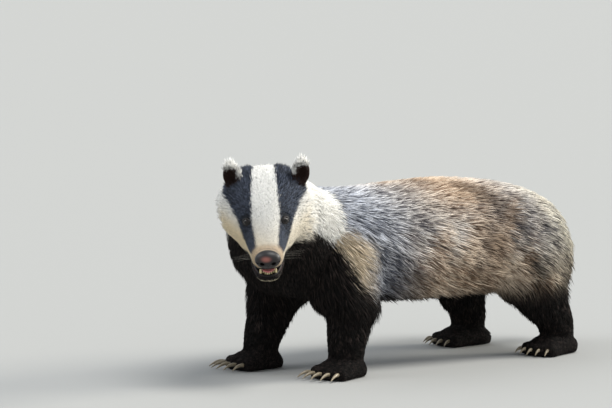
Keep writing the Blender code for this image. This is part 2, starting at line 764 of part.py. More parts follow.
def make_tail(core):
    """The tail with its locks. Returns its room, out past the locks."""
    rings = read_rings(TAIL, TAIL_STEPS)
    across = Vector((0, 1, 0))
    tail = loft("tail", rings, 12, across)
    locks = grow_locks("tail", surface_of(tail), tail_roots, tail_lie)
    combine(tail, locks, "UNION", "MANIFOLD")
    combine(tail, [grown(core)], "DIFFERENCE", "MANIFOLD")
    sleeve = loft("sleeve", [(c, d, w + COAT, up + COAT, down + COAT, q)
                             for c, d, w, up, down, q in rings], 12, across)
    room = room_for(sleeve, core)
    bpy.data.objects.remove(sleeve, do_unlink=True)
    return room


def nodes():
    return [o for o in bpy.context.scene.collection.objects if o.type == "MESH"]


def stand_on_origin():
    """Moves every part so that the origin is on the floor under the middle of the whole."""
    points = [v.co for o in nodes() for v in o.data.vertices]
    low = Vector((min(p.x for p in points), min(p.y for p in points), 0))
    high = Vector((max(p.x for p in points), max(p.y for p in points), 0))
    for o in nodes():
        o.data.transform(Matrix.Translation(-(low + high) / 2))


def paint():
    """Gives each part the finish named for it, by its own name or by the name's first word."""
    made = {}
    for o in nodes():
        finish = FINISHES.get(o.name) or FINISHES[o.name.split("_")[0]]
        if finish not in made:
            made[finish] = material(*finish)
        o.data.materials.clear()
        o.data.materials.append(made[finish])
        for face in o.data.polygons:
            face.material_index = 0


def main():
    clear_scene()
    core = make_core()
    skin = surface_of(core)
    thin_out(core, BODY_TRIANGLES)

    rooms = [make_leg(kind, side_name, core) for kind in ("fore", "hind") for side_name in SIDES]
    rooms += [make_ear(side_name, core) for side_name in SIDES]
    rooms.append(make_tail(core))
    body = new_object("torso", core.data.copy())
    combine(body, grow_locks("trunk", skin, trunk_roots, trunk_lie)
            + grow_locks("cheek", skin, cheek_roots, cheek_lie), "UNION", "MANIFOLD")
    combine(body, rooms, "DIFFERENCE", "MANIFOLD")
    neck, head = part_body(body)
    make_head(head, core)

    bpy.data.objects.remove(core, do_unlink=True)
    for o in nodes():
        settle(o)
    stand_on_origin()
    paint()


main()
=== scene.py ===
# %% [markdown]
# # A European badger, life size
#
# The badger stands on four feet and turns its head towards us, with its mouth a little open. The packed
# solids fix its size and its pose. Here it gets a living surface: one skin over the whole body, and on it
# a coat of nearly two hundred thousand small closed tufts. Hair systems and hair curves would be quicker
# to comb, but they don't survive an export, so each tuft is a thin solid blade with faces of its own.

# %% The frame
import math
import random

import bmesh
import bpy
import numpy as np
from mathutils import Matrix, Vector
from mathutils.bvhtree import BVHTree
from mathutils.kdtree import KDTree


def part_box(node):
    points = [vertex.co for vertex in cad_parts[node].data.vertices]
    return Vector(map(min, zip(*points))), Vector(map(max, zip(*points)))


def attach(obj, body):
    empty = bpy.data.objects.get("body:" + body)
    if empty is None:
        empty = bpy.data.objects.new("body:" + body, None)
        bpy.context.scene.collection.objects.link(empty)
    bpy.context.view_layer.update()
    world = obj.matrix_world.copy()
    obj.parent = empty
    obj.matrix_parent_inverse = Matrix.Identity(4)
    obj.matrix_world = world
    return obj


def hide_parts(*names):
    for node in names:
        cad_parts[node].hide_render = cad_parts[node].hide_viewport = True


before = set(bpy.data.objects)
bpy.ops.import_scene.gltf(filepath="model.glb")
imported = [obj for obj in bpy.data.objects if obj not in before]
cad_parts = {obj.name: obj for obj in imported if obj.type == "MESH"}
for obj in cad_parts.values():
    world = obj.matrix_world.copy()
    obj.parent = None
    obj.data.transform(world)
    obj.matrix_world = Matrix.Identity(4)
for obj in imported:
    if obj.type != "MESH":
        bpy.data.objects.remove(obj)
bpy.ops.object.select_all(action="DESELECT")
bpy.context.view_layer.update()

# %% [markdown]
# ## Where the body is
#
# All the body's sizes are given in one plan: metres, with the badger facing -X and its left side at -Y.
# The head has a frame of its own, in centimetres: s to its right, f forward along the muzzle and u up,
# with zero midway between the eyes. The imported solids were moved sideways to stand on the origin, so the
# plan is shifted by the same amount, which the boxes of the two eyes give.

# %% The plan and the head's frame
CM = 0.01
UP = Vector((0, 0, 1))
SIDES = {"left": -1, "right": 1}
EYE_MIDDLE = Vector((-0.345, -0.109, 0.234))
HEAD_YAW, HEAD_PITCH, HEAD_ROLL = (math.radians(a) for a in (52, 23, 3))

corners = [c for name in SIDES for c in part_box("eye_" + name)]
SHIFT = sum(corners, Vector()) / 4 - EYE_MIDDLE
SHIFT.z = 0
print("the plan is shifted by", [round(v, 5) for v in SHIFT])


def head_frame():
    """The head's frame as a matrix: turned to the badger's left, nodding, and tilted a little."""
    level = Vector((-math.cos(HEAD_YAW), -math.sin(HEAD_YAW), 0))
    forward = level * math.cos(HEAD_PITCH) - UP * math.sin(HEAD_PITCH)
    right = level.cross(UP)
    turn = Matrix((right, forward, right.cross(forward))).transposed().to_4x4()
    return Matrix.Translation(EYE_MIDDLE + SHIFT) @ Matrix.Rotation(HEAD_ROLL, 4, forward) @ turn


HEAD = head_frame()
HEAD_RIGHT, HEAD_FORWARD, HEAD_UP = (HEAD.to_3x3().col[i].normalized() for i in range(3))


def in_head(s, f, u):
    """A point given in centimetres in the head's frame."""
    return HEAD @ Vector((s * CM, f * CM, u * CM))


def mirrored(point, side):
    """A point of the head's right half, on the given side."""
    return (point[0] * side, *point[1:])


# %% [markdown]
# ## The camera
#
# The photo was taken with a long lens from a little above the badger's eye level. A long lens flattens
# the animal, so the camera stands 7 m away with a 300 mm lens. A point in the middle of the trunk is put
# at its own pixel by moving the camera aside and up, so no shift of the lens is needed.

# %% The camera
PICTURE = (612, 408)
AIM, AIM_PIXEL = Vector((0, 0, 0.175)) + SHIFT, (405, 238)
FOCAL_PIXELS, SENSOR, DISTANCE = 5100, 36, 7.2
AZIMUTH, ELEVATION = math.radians(-40), math.radians(6)

to_camera = Vector((math.sin(AZIMUTH) * math.cos(ELEVATION), -math.cos(AZIMUTH) * math.cos(ELEVATION),
                    math.sin(ELEVATION)))
right = Vector((math.cos(AZIMUTH), math.sin(AZIMUTH), 0))
above = to_camera.cross(right)
across, down = (pixel - size // 2 for pixel, size in zip(AIM_PIXEL, PICTURE))
stand = AIM + (to_camera - right * across / FOCAL_PIXELS + above * down / FOCAL_PIXELS) * DISTANCE
turn = Matrix((right, above, to_camera)).transposed().to_euler()
bpy.ops.object.camera_add(location=stand, rotation=turn)
camera = bpy.context.object
camera.data.sensor_width = SENSOR
camera.data.lens = SENSOR * FOCAL_PIXELS / PICTURE[0]
camera.data.clip_end = 100
bpy.context.scene.camera = camera
print("the lens has", round(camera.data.lens), "mm")

# %% [markdown]
# ## Forms of the flesh
#
# The body under the coat is a few lofts: rings of a superellipse along a smooth curve. They use the same
# sizes as the solids, drawn in by the depth of the coat, so that the tips of the hairs come out where
# the solids' surface is. Sculpting the body from one ball would hide its sizes, and a loft shows them.

# %% Lofts
# how far a pole stands out of the last ring, as a share of its size, and the least half width in metres
POLE_RISE, THINNEST = 0.35, 0.003


def along_curve(rows, steps):
    """Rows of numbers at even steps along a Catmull-Rom curve through the given rows."""
    rows = np.array(rows, float)
    padded = np.vstack([2 * rows[0] - rows[1], rows, 2 * rows[-1] - rows[-2]])
    spans = len(rows) - 1
    found = []
    for k in range(steps + 1):
        place = k / steps * spans
        i = min(int(place), spans - 1)
        t = place - i
        a, b, c, d = padded[i:i + 4]
        found.append(0.5 * (2 * b + (c - a) * t + (2 * a - 5 * b + 4 * c - d) * t ** 2
                            + (3 * b - a - 3 * c + d) * t ** 3))
    return found


def read_rings(rows, steps, along=None):
    """Rings of a form as (centre, direction, half width, up, down, squareness)."""
    read = along_curve(rows, steps)
    centres = [Vector(r[:3]) + SHIFT for r in read]
    return [(centres[k], along or (centres[min(k + 1, steps)] - centres[max(k - 1, 0)]).normalized(), *r[3:])
            for k, r in enumerate(read)]


def thinner(rings, by):
    """The same rings, drawn in by the depth of the fur."""
    return [(centre, along, *(max(size - by, THINNEST) for size in sizes), square)
            for centre, along, *sizes, square in rings]


def new_mesh(name, points, faces):
    """A mesh object with its faces turned outwards."""
    mesh = bpy.data.meshes.new(name)
    mesh.from_pydata([tuple(p) for p in points], [], faces)
    shell = bmesh.new()
    shell.from_mesh(mesh)
    bmesh.ops.recalc_face_normals(shell, faces=shell.faces)
    shell.to_mesh(mesh)
    shell.free()
    made = bpy.data.objects.new(name, mesh)
    bpy.context.scene.collection.objects.link(made)
    return made


def loft(name, rings, sides, across=None):
    """A closed form through rings, with a pole at each end."""
    points, faces = [], []
    for centre, along, width, up, down, square in rings:
        side = across or along.cross(UP)
        side = (side - side.dot(along) * along).normalized()
        top = side.cross(along)
        for k in range(sides):
            c, s = math.cos(2 * math.pi * k / sides), math.sin(2 * math.pi * k / sides)
            points.append(centre + side * math.copysign(abs(c) ** (2 / square), c) * width
                          + top * math.copysign(abs(s) ** (2 / square), s) * (up if s > 0 else down))
    for k in range(len(rings) - 1):
        for j in range(sides):
            n = (j + 1) % sides
            faces.append((k * sides + j, k * sides + n, (k + 1) * sides + n, (k + 1) * sides + j))
    for ring, sign in ((rings[0], -1), (rings[-1], 1)):
        first = 0 if sign < 0 else (len(rings) - 1) * sides
        points.append(ring[0] + ring[1] * sign * min(ring[2:5]) * POLE_RISE)
        faces += [(first + j, first + (j + 1) % sides, len(points) - 1) for j in range(sides)]
    return new_mesh(name, points, faces)


# %% [markdown]
# ### The trunk
#
# A badger's trunk is low and wide, with the belly near the ground, and broadest just before the hips. Its
# rings run from the rump to the neck, which turns to the badger's left. Shoulders and thighs bulge from
# it, and a ball for each is enough, because the skin later melts it into the trunk.

# %% The trunk
COAT = 0.011
# x, y, z, half width, up, down, squareness, out to the coat's outline
TRUNK = [(0.264, 0.000, 0.166, 0.032, 0.030, 0.036, 2.0), (0.246, 0.000, 0.166, 0.072, 0.052, 0.060, 2.2),
         (0.200, 0.000, 0.165, 0.104, 0.072, 0.074, 2.3), (0.130, 0.000, 0.169, 0.113, 0.083, 0.083, 2.3),
         (0.045, 0.000, 0.171, 0.110, 0.087, 0.085, 2.3), (-0.050, 0.000, 0.172, 0.104, 0.084, 0.083, 2.3),
         (-0.130, 0.000, 0.176, 0.098, 0.080, 0.080, 2.3), (-0.190, -0.004, 0.187, 0.093, 0.077, 0.086, 2.2),
         (-0.236, -0.018, 0.207, 0.083, 0.069, 0.086, 2.2), (-0.268, -0.040, 0.228, 0.073, 0.063, 0.078, 2.2),
         (-0.297, -0.062, 0.243, 0.063, 0.054, 0.068, 2.2), (-0.322, -0.086, 0.245, 0.044, 0.038, 0.046, 2.1)]
# the place and the radii of a bulge
SHOULDER = ((-0.172, 0.062, 0.150), (0.052, 0.040, 0.066))
THIGH = ((0.178, 0.066, 0.140), (0.062, 0.044, 0.070))


def ball(name, centre, radii, turn=None, segments=32, rows=20):
    """An ellipsoid, turned by a matrix about its centre, with its place in its mesh."""
    bpy.ops.mesh.primitive_uv_sphere_add(segments=segments, ring_count=rows, radius=1)
    made = bpy.context.object
    made.name = name
    turned = turn.to_4x4() if turn else Matrix.Identity(4)
    made.data.transform(Matrix.Translation(centre) @ turned @ Matrix.Diagonal((*radii, 1)))
    return made


trunk_rings = read_rings(TRUNK, 3 * (len(TRUNK) - 1))
flesh = [loft("trunk", thinner(trunk_rings, COAT), 48)]
flesh += [ball("bulge", Vector((x, y * side, z)) + SHIFT, radii)
          for (x, y, z), radii in (SHOULDER, THIGH) for side in SIDES.values()]
print("trunk, shoulders and thighs:", len(flesh), "forms")

# %% [markdown]
# ### The skull, the jaw and the lips
#
# A badger's head is a long wedge: a narrow muzzle, then a broad skull with full cheeks. The lower jaw is
# a form of its own, dropped a little to open the mouth, and a tube along each edge makes the lips.

# %% Skull, jaw and lips
FACE_FUR, JAW_FUR = 0.0016, 0.0006
# f, u, half width, up, down, squareness, in centimetres from the nose back
SKULL = [(7.1, -2.4, 1.45, 0.95, 1.05, 2.2), (6.3, -2.5, 2.00, 1.45, 1.45, 2.4),
         (4.7, -2.6, 2.40, 2.10, 1.65, 2.4), (3.1, -2.6, 2.65, 2.80, 2.00, 2.3),
         (1.5, -2.5, 3.00, 3.50, 3.40, 2.1), (0.0, -2.2, 3.75, 4.20, 4.30, 2.1),
         (-2.0, -1.6, 4.85, 4.85, 4.45, 2.2), (-4.0, -1.3, 5.50, 5.35, 4.60, 2.4),
         (-6.0, -1.1, 5.80, 5.55, 4.40, 2.4), (-8.0, -1.1, 5.35, 5.05, 4.00, 2.3),
         (-9.6, -1.1, 4.20, 3.80, 3.00, 2.2)]
JAW = [(6.2, -5.55, 1.25, 0.40, 0.60, 2.2), (5.4, -5.55, 1.65, 0.55, 0.80, 2.3),
       (4.0, -5.40, 2.00, 0.70, 0.90, 2.3), (2.5, -5.15, 2.30, 0.80, 0.95, 2.2),
       (0.8, -4.90, 2.30, 0.80, 0.95, 2.1)]
# from the middle of each lip back to the corner of the mouth
LIP_RADIUS = 0.24
UPPER_LIP = [(0.45, 6.62, -3.52), (1.10, 6.35, -3.62), (1.65, 5.4, -3.80), (1.95, 4.0, -4.00),
             (2.10, 2.4, -4.25)]
LOWER_LIP = [(0.40, 6.20, -5.31), (0.95, 6.00, -5.25), (1.40, 5.3, -5.15), (1.75, 4.2, -4.95),
             (1.95, 2.8, -4.75)]


def head_form(name, stations, steps, sides, fur):
    """A loft along the head's own forward axis."""
    rows = [(*(in_head(0, f, u) - SHIFT), w * CM, up * CM, down * CM, q) for f, u, w, up, down, q in stations]
    return loft(name, thinner(read_rings(rows, steps, along=-HEAD_FORWARD), fur), sides, across=-HEAD_RIGHT)


def head_tube(name, path, radii, sides=10):
    """A closed tube through points of the head's frame, with a radius in centimetres at each."""
    rows = [(*(in_head(*p) - SHIFT), r * CM, r * CM, r * CM, 2) for p, r in zip(path, radii)]
    return loft(name, read_rings(rows, 4 * (len(rows) - 1)), sides, across=HEAD_UP)


def lip(name, half, radius):
    """A tube along both halves of a lip, a little thinner at its ends."""
    path = [mirrored(p, -1) for p in reversed(half)] + half
    return head_tube(name, path, [radius * 0.75] + [radius] * (len(path) - 2) + [radius * 0.75])


flesh += [head_form("skull", SKULL, 40, 48, FACE_FUR), head_form("jaw", JAW, 16, 32, JAW_FUR)]
flesh += [lip("upper_lip", UPPER_LIP, LIP_RADIUS), lip("lower_lip", LOWER_LIP, LIP_RADIUS)]
print("with the head:", len(flesh), "forms")

# %% [markdown]
# ### The ears
#
# The ears are small and round and sit low on the sides of the skull. Each is an ellipsoid with a smaller
# one cut out of its front, which leaves the rim and the hollow of the cup.

# %% The ears
# centimetres, across, through and up
EAR_PLACE, EAR_RADII, EAR_CUP = (4.70, -5.6, 3.80), (1.40, 0.80, 2.05), (0.84, 0.78, 1.15)
EAR_SPLAY, EAR_TILT, CUP_FORWARD = math.radians(14), math.radians(8), 0.62
# both ears sit a little towards the badger's left, and the fur takes some of their size
EAR_LEAN, EAR_FUR = -0.40, (0.20, 0.08, 0.20)


def apply(obj, kind, **settings):
    """Gives an object a modifier with these settings and applies it."""
    modifier = obj.modifiers.new("shaper", kind)
    for name, value in settings.items():
        setattr(modifier, name, value)
    bpy.context.view_layer.objects.active = obj
    bpy.ops.object.modifier_apply(modifier="shaper")


def cut_away(obj, tool):
    """Subtracts one closed form from another."""
    apply(obj, "BOOLEAN", object=tool, operation="DIFFERENCE")
    bpy.data.objects.remove(tool, do_unlink=True)


def ear_turn(side):
    """The ear's own frame, turned outwards and tilted."""
    splay = Matrix.Rotation(-EAR_SPLAY * side, 3, "Z")
    return HEAD.to_3x3() @ splay @ Matrix.Rotation(EAR_TILT * side, 3, "Y")


def ear_place(side):
    """The middle of an ear."""
    return in_head(EAR_PLACE[0] * side + EAR_LEAN, *EAR_PLACE[1:])


def ear(side):
    """A rounded ear with the hollow of its cup."""
    place, turn = ear_place(side), ear_turn(side)
    outer = ball("ear", place, [(r - fur) * CM for r, fur in zip(EAR_RADII, EAR_FUR)], turn, 40, 28)
    cup = ball("cup", place + turn @ Vector((0, CUP_FORWARD * CM, 0)), [r * CM for r in EAR_CUP], turn)
    cut_away(outer, cup)
    return outer


flesh += [ear(side) for side in SIDES.values()]
print("an ear has", len(flesh[-1].data.vertices), "points")

# %% [markdown]
# ### The tail
#
# The tail is short, thick and bushy, and hangs close to the rump. It is a loft like the trunk.

# %% The tail
TAIL_FUR = 0.0040
TAIL = [(0.230, 0.002, 0.196, 0.022, 0.022, 0.022, 2), (0.262, 0.004, 0.185, 0.025, 0.022, 0.022, 2),
        (0.286, 0.007, 0.156, 0.025, 0.019, 0.021, 2), (0.297, 0.010, 0.118, 0.022, 0.017, 0.019, 2),
        (0.294, 0.012, 0.080, 0.011, 0.010, 0.011, 2)]
tail_rings = read_rings(TAIL, 12)
flesh.append(loft("tail", thinner(tail_rings, TAIL_FUR), 24, Vector((0, 1, 0))))
print("the tail hangs down to", round(tail_rings[-1][0].z, 3), "m over the ground")

# %% [markdown]
# ### Legs, feet and toes
#
# The legs are short and strong, and the feet are flat with five toes each. All four legs are one function
# with a table for the fore and the hind pair, and each leg is set a little forward or back, as in a stroll
# that has just stopped.

# %% The legs
LEG_FUR, FOOT_FUR = 0.0030, 0.0012
WRIST_HEIGHT, ANKLE_HEIGHT, AXIS_HEIGHT = 0.034, 0.014, 0.010
# x, distance out from the middle, z, half width, front, back, squareness
LEGS = {
    "fore": [(-0.168, 0.054, 0.165, 0.036, 0.048, 0.048, 2), (-0.168, 0.066, 0.120, 0.036, 0.042, 0.042, 2),
             (-0.168, 0.073, 0.088, 0.032, 0.035, 0.034, 2), (-0.174, 0.074, 0.060, 0.0285, 0.030, 0.029, 2),
             (-0.178, 0.074, WRIST_HEIGHT, 0.0255, 0.0265, 0.0265, 2)],
    "hind": [(0.180, 0.057, 0.160, 0.040, 0.054, 0.054, 2), (0.174, 0.070, 0.118, 0.039, 0.050, 0.048, 2),
             (0.184, 0.076, 0.086, 0.033, 0.040, 0.036, 2), (0.202, 0.077, 0.058, 0.0275, 0.030, 0.028, 2),
             (0.209, 0.077, WRIST_HEIGHT, 0.0250, 0.0265, 0.0260, 2)]}
# how far each leg is set back at the wrist. The shift grows from the shoulder's height down
STANCE = {("fore", "left"): 0.006, ("fore", "right"): -0.024,
          ("hind", "left"): 0.012, ("hind", "right"): -0.020}
SWING_TOP, SWING_HEIGHT = 0.165, 0.13
# x from the ankle, half width and height of the feet
FEET = {"fore": [(0.029, 0.012, 0.016), (0.018, 0.022, 0.026), (0.000, 0.0260, 0.031),
                 (-0.019, 0.0290, 0.028), (-0.033, 0.0270, 0.021), (-0.040, 0.018, 0.014)],
        "hind": [(0.033, 0.012, 0.018), (0.020, 0.0215, 0.026), (0.000, 0.0250, 0.031),
                 (-0.023, 0.0270, 0.028), (-0.037, 0.0245, 0.021), (-0.043, 0.016, 0.014)]}
FOOT_SPLAY, TOE_FAN, TOE_LENGTH, TOES = math.radians(8), math.radians(13), 0.029, 5


def toe(place, spread):
    """One toe at a place of the foot. Spread runs from -1 to 1 across the foot."""
    turned = place @ Matrix.Rotation(-spread * TOE_FAN, 4, "Z")
    length = TOE_LENGTH * (1 - 0.22 * spread ** 2)
    rows = [(*(turned @ Vector((x, 0, z))), r, r, r + 0.002, 2) for x, z, r in (
        (0.006, 0.009, 0.0075), (-length * 0.5, 0.0100, 0.0078), (-length * 0.85, 0.0092, 0.0076),
        (-length * 0.97, 0.0085, 0.0062))]
    return loft("toe", read_rings(rows, 8, along=turned.to_3x3() @ Vector((-1, 0, 0))), 14)


def limb(kind, name):
    """One leg with its foot and toes."""
    side, swing = SIDES[name], STANCE[kind, name]
    rows = [(x + swing * (SWING_TOP - z) / SWING_HEIGHT, y * side, z, *sizes)
            for x, y, z, *sizes in LEGS[kind]]
    ankle = read_rings(rows, 16)[-1][0] - SHIFT
    rows.append((ankle.x, ankle.y, ANKLE_HEIGHT, *[r * 0.98 for r in rows[-1][3:6]], 2))
    made = [loft("leg", thinner(read_rings(rows, 20), LEG_FUR), 24, Vector((0, 1, 0)))]
    place = Matrix.Translation((ankle.x, ankle.y, 0)) @ Matrix.Rotation(-FOOT_SPLAY * side, 4, "Z")
    rows = [(*(place @ Vector((x, 0, AXIS_HEIGHT))), half, top - AXIS_HEIGHT, AXIS_HEIGHT + 0.003, 2.4)
            for x, half, top in FEET[kind]]
    forward = place.to_3x3() @ Vector((-1, 0, 0))
    made.append(loft("foot", thinner(read_rings(rows, 15, along=forward), FOOT_FUR), 24))
    knuckle, half, _ = FEET[kind][-3]
    middle = (TOES - 1) / 2
    for k in range(TOES):
        spread = (k - middle) / middle
        made.append(toe(place @ Matrix.Translation((knuckle, spread * half * 0.70, 0)), spread))
    return made


for kind in LEGS:
    for name in SIDES:
        flesh += limb(kind, name)
print("all the flesh:", len(flesh), "forms")

# %% [markdown]
# ### One skin
#
# A voxel remesh melts all these forms into one closed skin with an even grid of faces, and a smooth
# modifier then relaxes the creases where they met, as skin over muscle does. A Boolean union would keep
# every crease sharp. The soles are pressed flat, because the badger's weight spreads its pads.

# %% The skin
VOXEL, RELAX_ROUNDS, SOLE_HEIGHT = 0.0026, 6, 0.0004


def only(obj):
    """Selects one object alone and makes it the active one."""
    bpy.ops.object.select_all(action="DESELECT")
    obj.select_set(True)
    bpy.context.view_layer.objects.active = obj


def join(name, parts):
    """Joins objects into the first of them, under a new name."""
    only(parts[0])
    for part in parts:
        part.select_set(True)
    bpy.ops.object.join()
    parts[0].name = name
    return parts[0]


def melt(obj, voxel, rounds):
    """Remeshes a form finely and relaxes its edges."""
    only(obj)
    apply(obj, "REMESH", mode="VOXEL", voxel_size=voxel)
    apply(obj, "SMOOTH", factor=0.5, iterations=rounds)
    bpy.ops.object.shade_smooth()


skin = join("skin", flesh)
melt(skin, VOXEL, RELAX_ROUNDS)
for v in skin.data.vertices:
    v.co.z = max(v.co.z, SOLE_HEIGHT)
print("skin:", len(skin.data.vertices), "points")

# %% [markdown]
# ### Its unwrap
#
# The skin is unwrapped by its own shape. Every tuft later takes a tiny patch of this map at its root's
# place, so that a baked texture keeps each tuft's colour.

# %% The unwrap
bpy.ops.object.mode_set(mode="EDIT")
bpy.ops.mesh.select_all(action="SELECT")
bpy.ops.mesh.quads_convert_to_tris()
bpy.ops.uv.smart_project(angle_limit=math.radians(66), island_margin=0.002)
bpy.ops.object.mode_set(mode="OBJECT")
bpy.ops.object.select_all(action="DESELECT")
skin.data.uv_layers[0].name = "OFBake"


def numbers(elements, what, width, kind=float):
    """A property of a mesh's points or corners as rows of numbers."""
    found = np.zeros(len(elements) * width, kind)
    elements.foreach_get(what, found)
    return found.reshape(-1, width)


skin_co = numbers(skin.data.vertices, "co", 3)
skin_faces = numbers(skin.data.loops, "vertex_index", 1, int).reshape(-1, 3)
skin_uv = numbers(skin.data.uv_layers[0].data, "uv", 2).reshape(-1, 3, 2)
surface = BVHTree.FromPolygons(skin_co.tolist(), skin_faces.tolist())
print("unwrapped", len(skin_faces), "triangles")

# %% [markdown]
# ## Reading a place on the body
#
# The markings and the lie of the coat both depend on where a hair grows. So each point gets an address:
# along and round the trunk, in the head's frame, and how far it belongs to the head, a leg, a foot, the
# tail or an ear. A smooth step blends one part into the next.

# %% Addresses on the body
ring_centres = np.array([r[0] for r in trunk_rings])
ring_along = np.array([r[1] for r in trunk_rings])
ring_side = np.cross(ring_along, [0, 0, 1])
ring_side /= np.linalg.norm(ring_side, axis=1)[:, None]
ring_top = np.cross(ring_side, ring_along)
tail_centres = np.array([r[0] for r in tail_rings])
tail_along = np.array([r[1] for r in tail_rings])
to_head = np.array(HEAD.inverted())
# the head ends at a plane through the throat, given as (s, f, u) and a direction in the head's frame
THROAT, HEAD_CUT = (0, -4.0, -6.5), Vector((0, 0.925, 0.378))
# where one part blends into the next: centimetres from that plane, heights, the distance from the tail's
# axis, its start along x, and the distance from an ear's middle in its own radii
HEAD_EDGE, LEG_EDGE, FOOT_EDGE = (-1.2, 0.8), (0.085, 0.125), (0.026, 0.042)
TAIL_EDGE, TAIL_START, EAR_EDGE = (0.021, 0.027), (0.245, 0.262), (0.94, 1.10)
CHUNK = 20000


def ramp(x, low, high):
    """A smooth step from 0 at low to 1 at high."""
    t = np.clip((x - low) / (high - low), 0, 1)
    return t * t * (3 - 2 * t)


def unit(v):
    """Directions of length 1."""
    return v / np.maximum(np.linalg.norm(v, axis=-1, keepdims=True), 1e-9)


def nearest(p, centres):
    """The number of the centre nearest to each point. Chunks of points spare memory."""
    return np.concatenate([np.argmin(((p[start:start + CHUNK, None] - centres[None]) ** 2).sum(-1), axis=1)
                           for start in range(0, len(p), CHUNK)])


def from_head(p):
    """Points in the head's frame, in centimetres."""
    return (p @ to_head[:3, :3].T + to_head[:3, 3]) / CM


def on_trunk(p):
    """The nearest ring of each point, a running number along the rings and the angle from the spine."""
    near = nearest(p, ring_centres)
    off = p - ring_centres[near]
    step = np.linalg.norm(np.gradient(ring_centres, axis=0), axis=1)[near]
    t = near + np.clip((off * ring_along[near]).sum(-1) / step, -0.5, 0.5)
    across, top = (off * ring_side[near]).sum(-1), (off * ring_top[near]).sum(-1)
    return near, t, np.degrees(np.arctan2(np.abs(across), top))


def on_ears(p):
    """How far points belong to an ear, and their place from its middle in centimetres."""
    weights, place = np.zeros(len(p)), np.zeros((len(p), 3))
    for side in SIDES.values():
        local = (p - np.array(ear_place(side))) @ np.array(ear_turn(side).inverted()).T / CM
        weight = 1 - ramp(np.linalg.norm(local / np.array(EAR_RADII), axis=1), *EAR_EDGE)
        weights = np.maximum(weights, weight)
        place[weight > 0] = local[weight > 0]
    return weights, place


def address(p):
    """Where points are: on the trunk, in the head's frame, and their weight in each part."""
    near, t, angle = on_trunk(p)
    s, f, u = from_head(p).T
    head = ramp((f - THROAT[1]) * HEAD_CUT.y + (u - THROAT[2]) * HEAD_CUT.z, *HEAD_EDGE)
    ear, ear_local = on_ears(p)
    x, z = p[:, 0] - SHIFT.x, p[:, 2]
    tail_near = nearest(p, tail_centres)
    tail_gap = np.linalg.norm(p - tail_centres[tail_near], axis=1)
    tail = (1 - ramp(tail_gap, *TAIL_EDGE)) * ramp(x, *TAIL_START)
    leg = (1 - ramp(z, *LEG_EDGE)) * (1 - tail) * (1 - head)
    foot = (1 - ramp(z, *FOOT_EDGE)) * (1 - tail)
    return {"p": p, "x": x, "z": z, "near": near, "t": t, "angle": angle, "s": s, "f": f, "u": u,
            "head": head, "ear": ear, "ear_local": ear_local, "leg": leg, "foot": foot, "tail": tail,
            "tail_near": tail_near}


at_skin = address(skin_co)
for part in ("head", "ear", "leg", "foot", "tail"):
    print(f"{part}: {at_skin[part].mean():.0%} of the skin")

# %% [markdown]
# ## The lie and the length of the coat
#
# Hair lies back from the nose over the forehead and cheeks, back and down along the flanks, straight down
# over the rump and legs, and forward over the toes. It is a few millimetres long on the muzzle, nearly two
# centimetres on the cheek ruff, and four on the back, where stiff guard hairs stand over the wool. A table
# of named guides says so, and each hair mixes the guides by its own address, as a groomer would comb it.

# %% Guides of length
# millimetres along the trunk's rings from the rump, and along the head's f
TRUNK_LENGTH = [(0, 34), (4, 38), (9, 42), (15, 42), (20, 36), (23, 27), (26, 21), (33, 18)]
FACE_LENGTH = [(-10, 19), (-7, 15), (-4, 11.5), (-1, 8.5), (2, 6.5), (4.5, 4.5), (6.5, 3.2)]
# length, width and lift of the tip, all in millimetres, how many times the tufts cover the skin, and how
# straight they stand out of it, from 0 to 1
GUIDES = {"ruff": (18, 1.3, 6.6, 8, 0.42), "crown": (14, 0.9, 4.5, 8, 0.55), "chin": (5, 0.9, 1.0, 7, 0),
          "leg": (19, 1.6, 3.2, 5.5, 0), "shin": (11, 1.3, 2.2, 5.5, 0), "foot": (7, 1.1, 1.5, 5, 0),
          "tail": (46, 1.8, 8.5, 9, 0.1), "ear": (6, 0.8, 0.9, 8, 0), "rim": (6, 0.8, 1.2, 9, 0.9)}
# the hair at the very top of an ear is this much longer
EAR_POINT = 3


def read(x, table):
    """The value of a table at x, on a straight line between its rows."""
    return np.interp(x, *zip(*table))


def ear_rim(a):
    """1 on an ear's top and down its inner edge, where its white hair grows."""
    local = a["ear_local"] / np.array(EAR_RADII)
    inner = ramp(-local[:, 0] * np.sign(a["s"]), 0.50, 0.70) * ramp(local[:, 2], -0.25, 0.05)
    arch = 0.52 - 0.38 * (1 - np.sqrt(np.clip(1 - (local[:, 0] / 0.9) ** 2, 0, 1)))
    return a["ear"] * np.maximum(inner, ramp(local[:, 2] - arch, -0.05, 0.07))


def ruff_of(a):
    """1 on the cheeks, where the long ruff grows."""
    return a["head"] * ramp(-a["f"], 0.5, 4.0) * ramp(np.abs(a["s"]), 3.0, 4.6) * (1 - ramp(a["u"], 0.8, 2.8))


def on_body(a):
    """The guide's five numbers on the trunk: shorter on the belly, with a fringe along its edge."""
    t, angle = a["t"], a["angle"]
    belly = ramp(angle, 125, 160)
    fringe = ramp(angle, 105, 125) * (1 - ramp(angle, 150, 170))
    length = read(t, TRUNK_LENGTH) * (1 - 0.35 * belly)
    lift = (11.0 - 5.0 * (1 - ramp(t, 3, 9)) - 2.0 * ramp(t, 22, 27)) * (1 - 0.35 * belly + 0.30 * fringe)
    return np.stack([length, 1.65 - 0.4 * ramp(t, 20, 26), lift, 8.0 - 3.2 * belly, 0.35 * fringe])


def on_face(a):
    """The guide's five numbers on the face, where short hair is fine and lies close."""
    length = read(a["f"], FACE_LENGTH)
    lift = 0.4 + 0.11 * length + 0.20 * np.maximum(length - 10, 0)
    return np.stack([length, 0.55 + 0.035 * length, lift, np.full(len(length), 7.0), 0 * length])


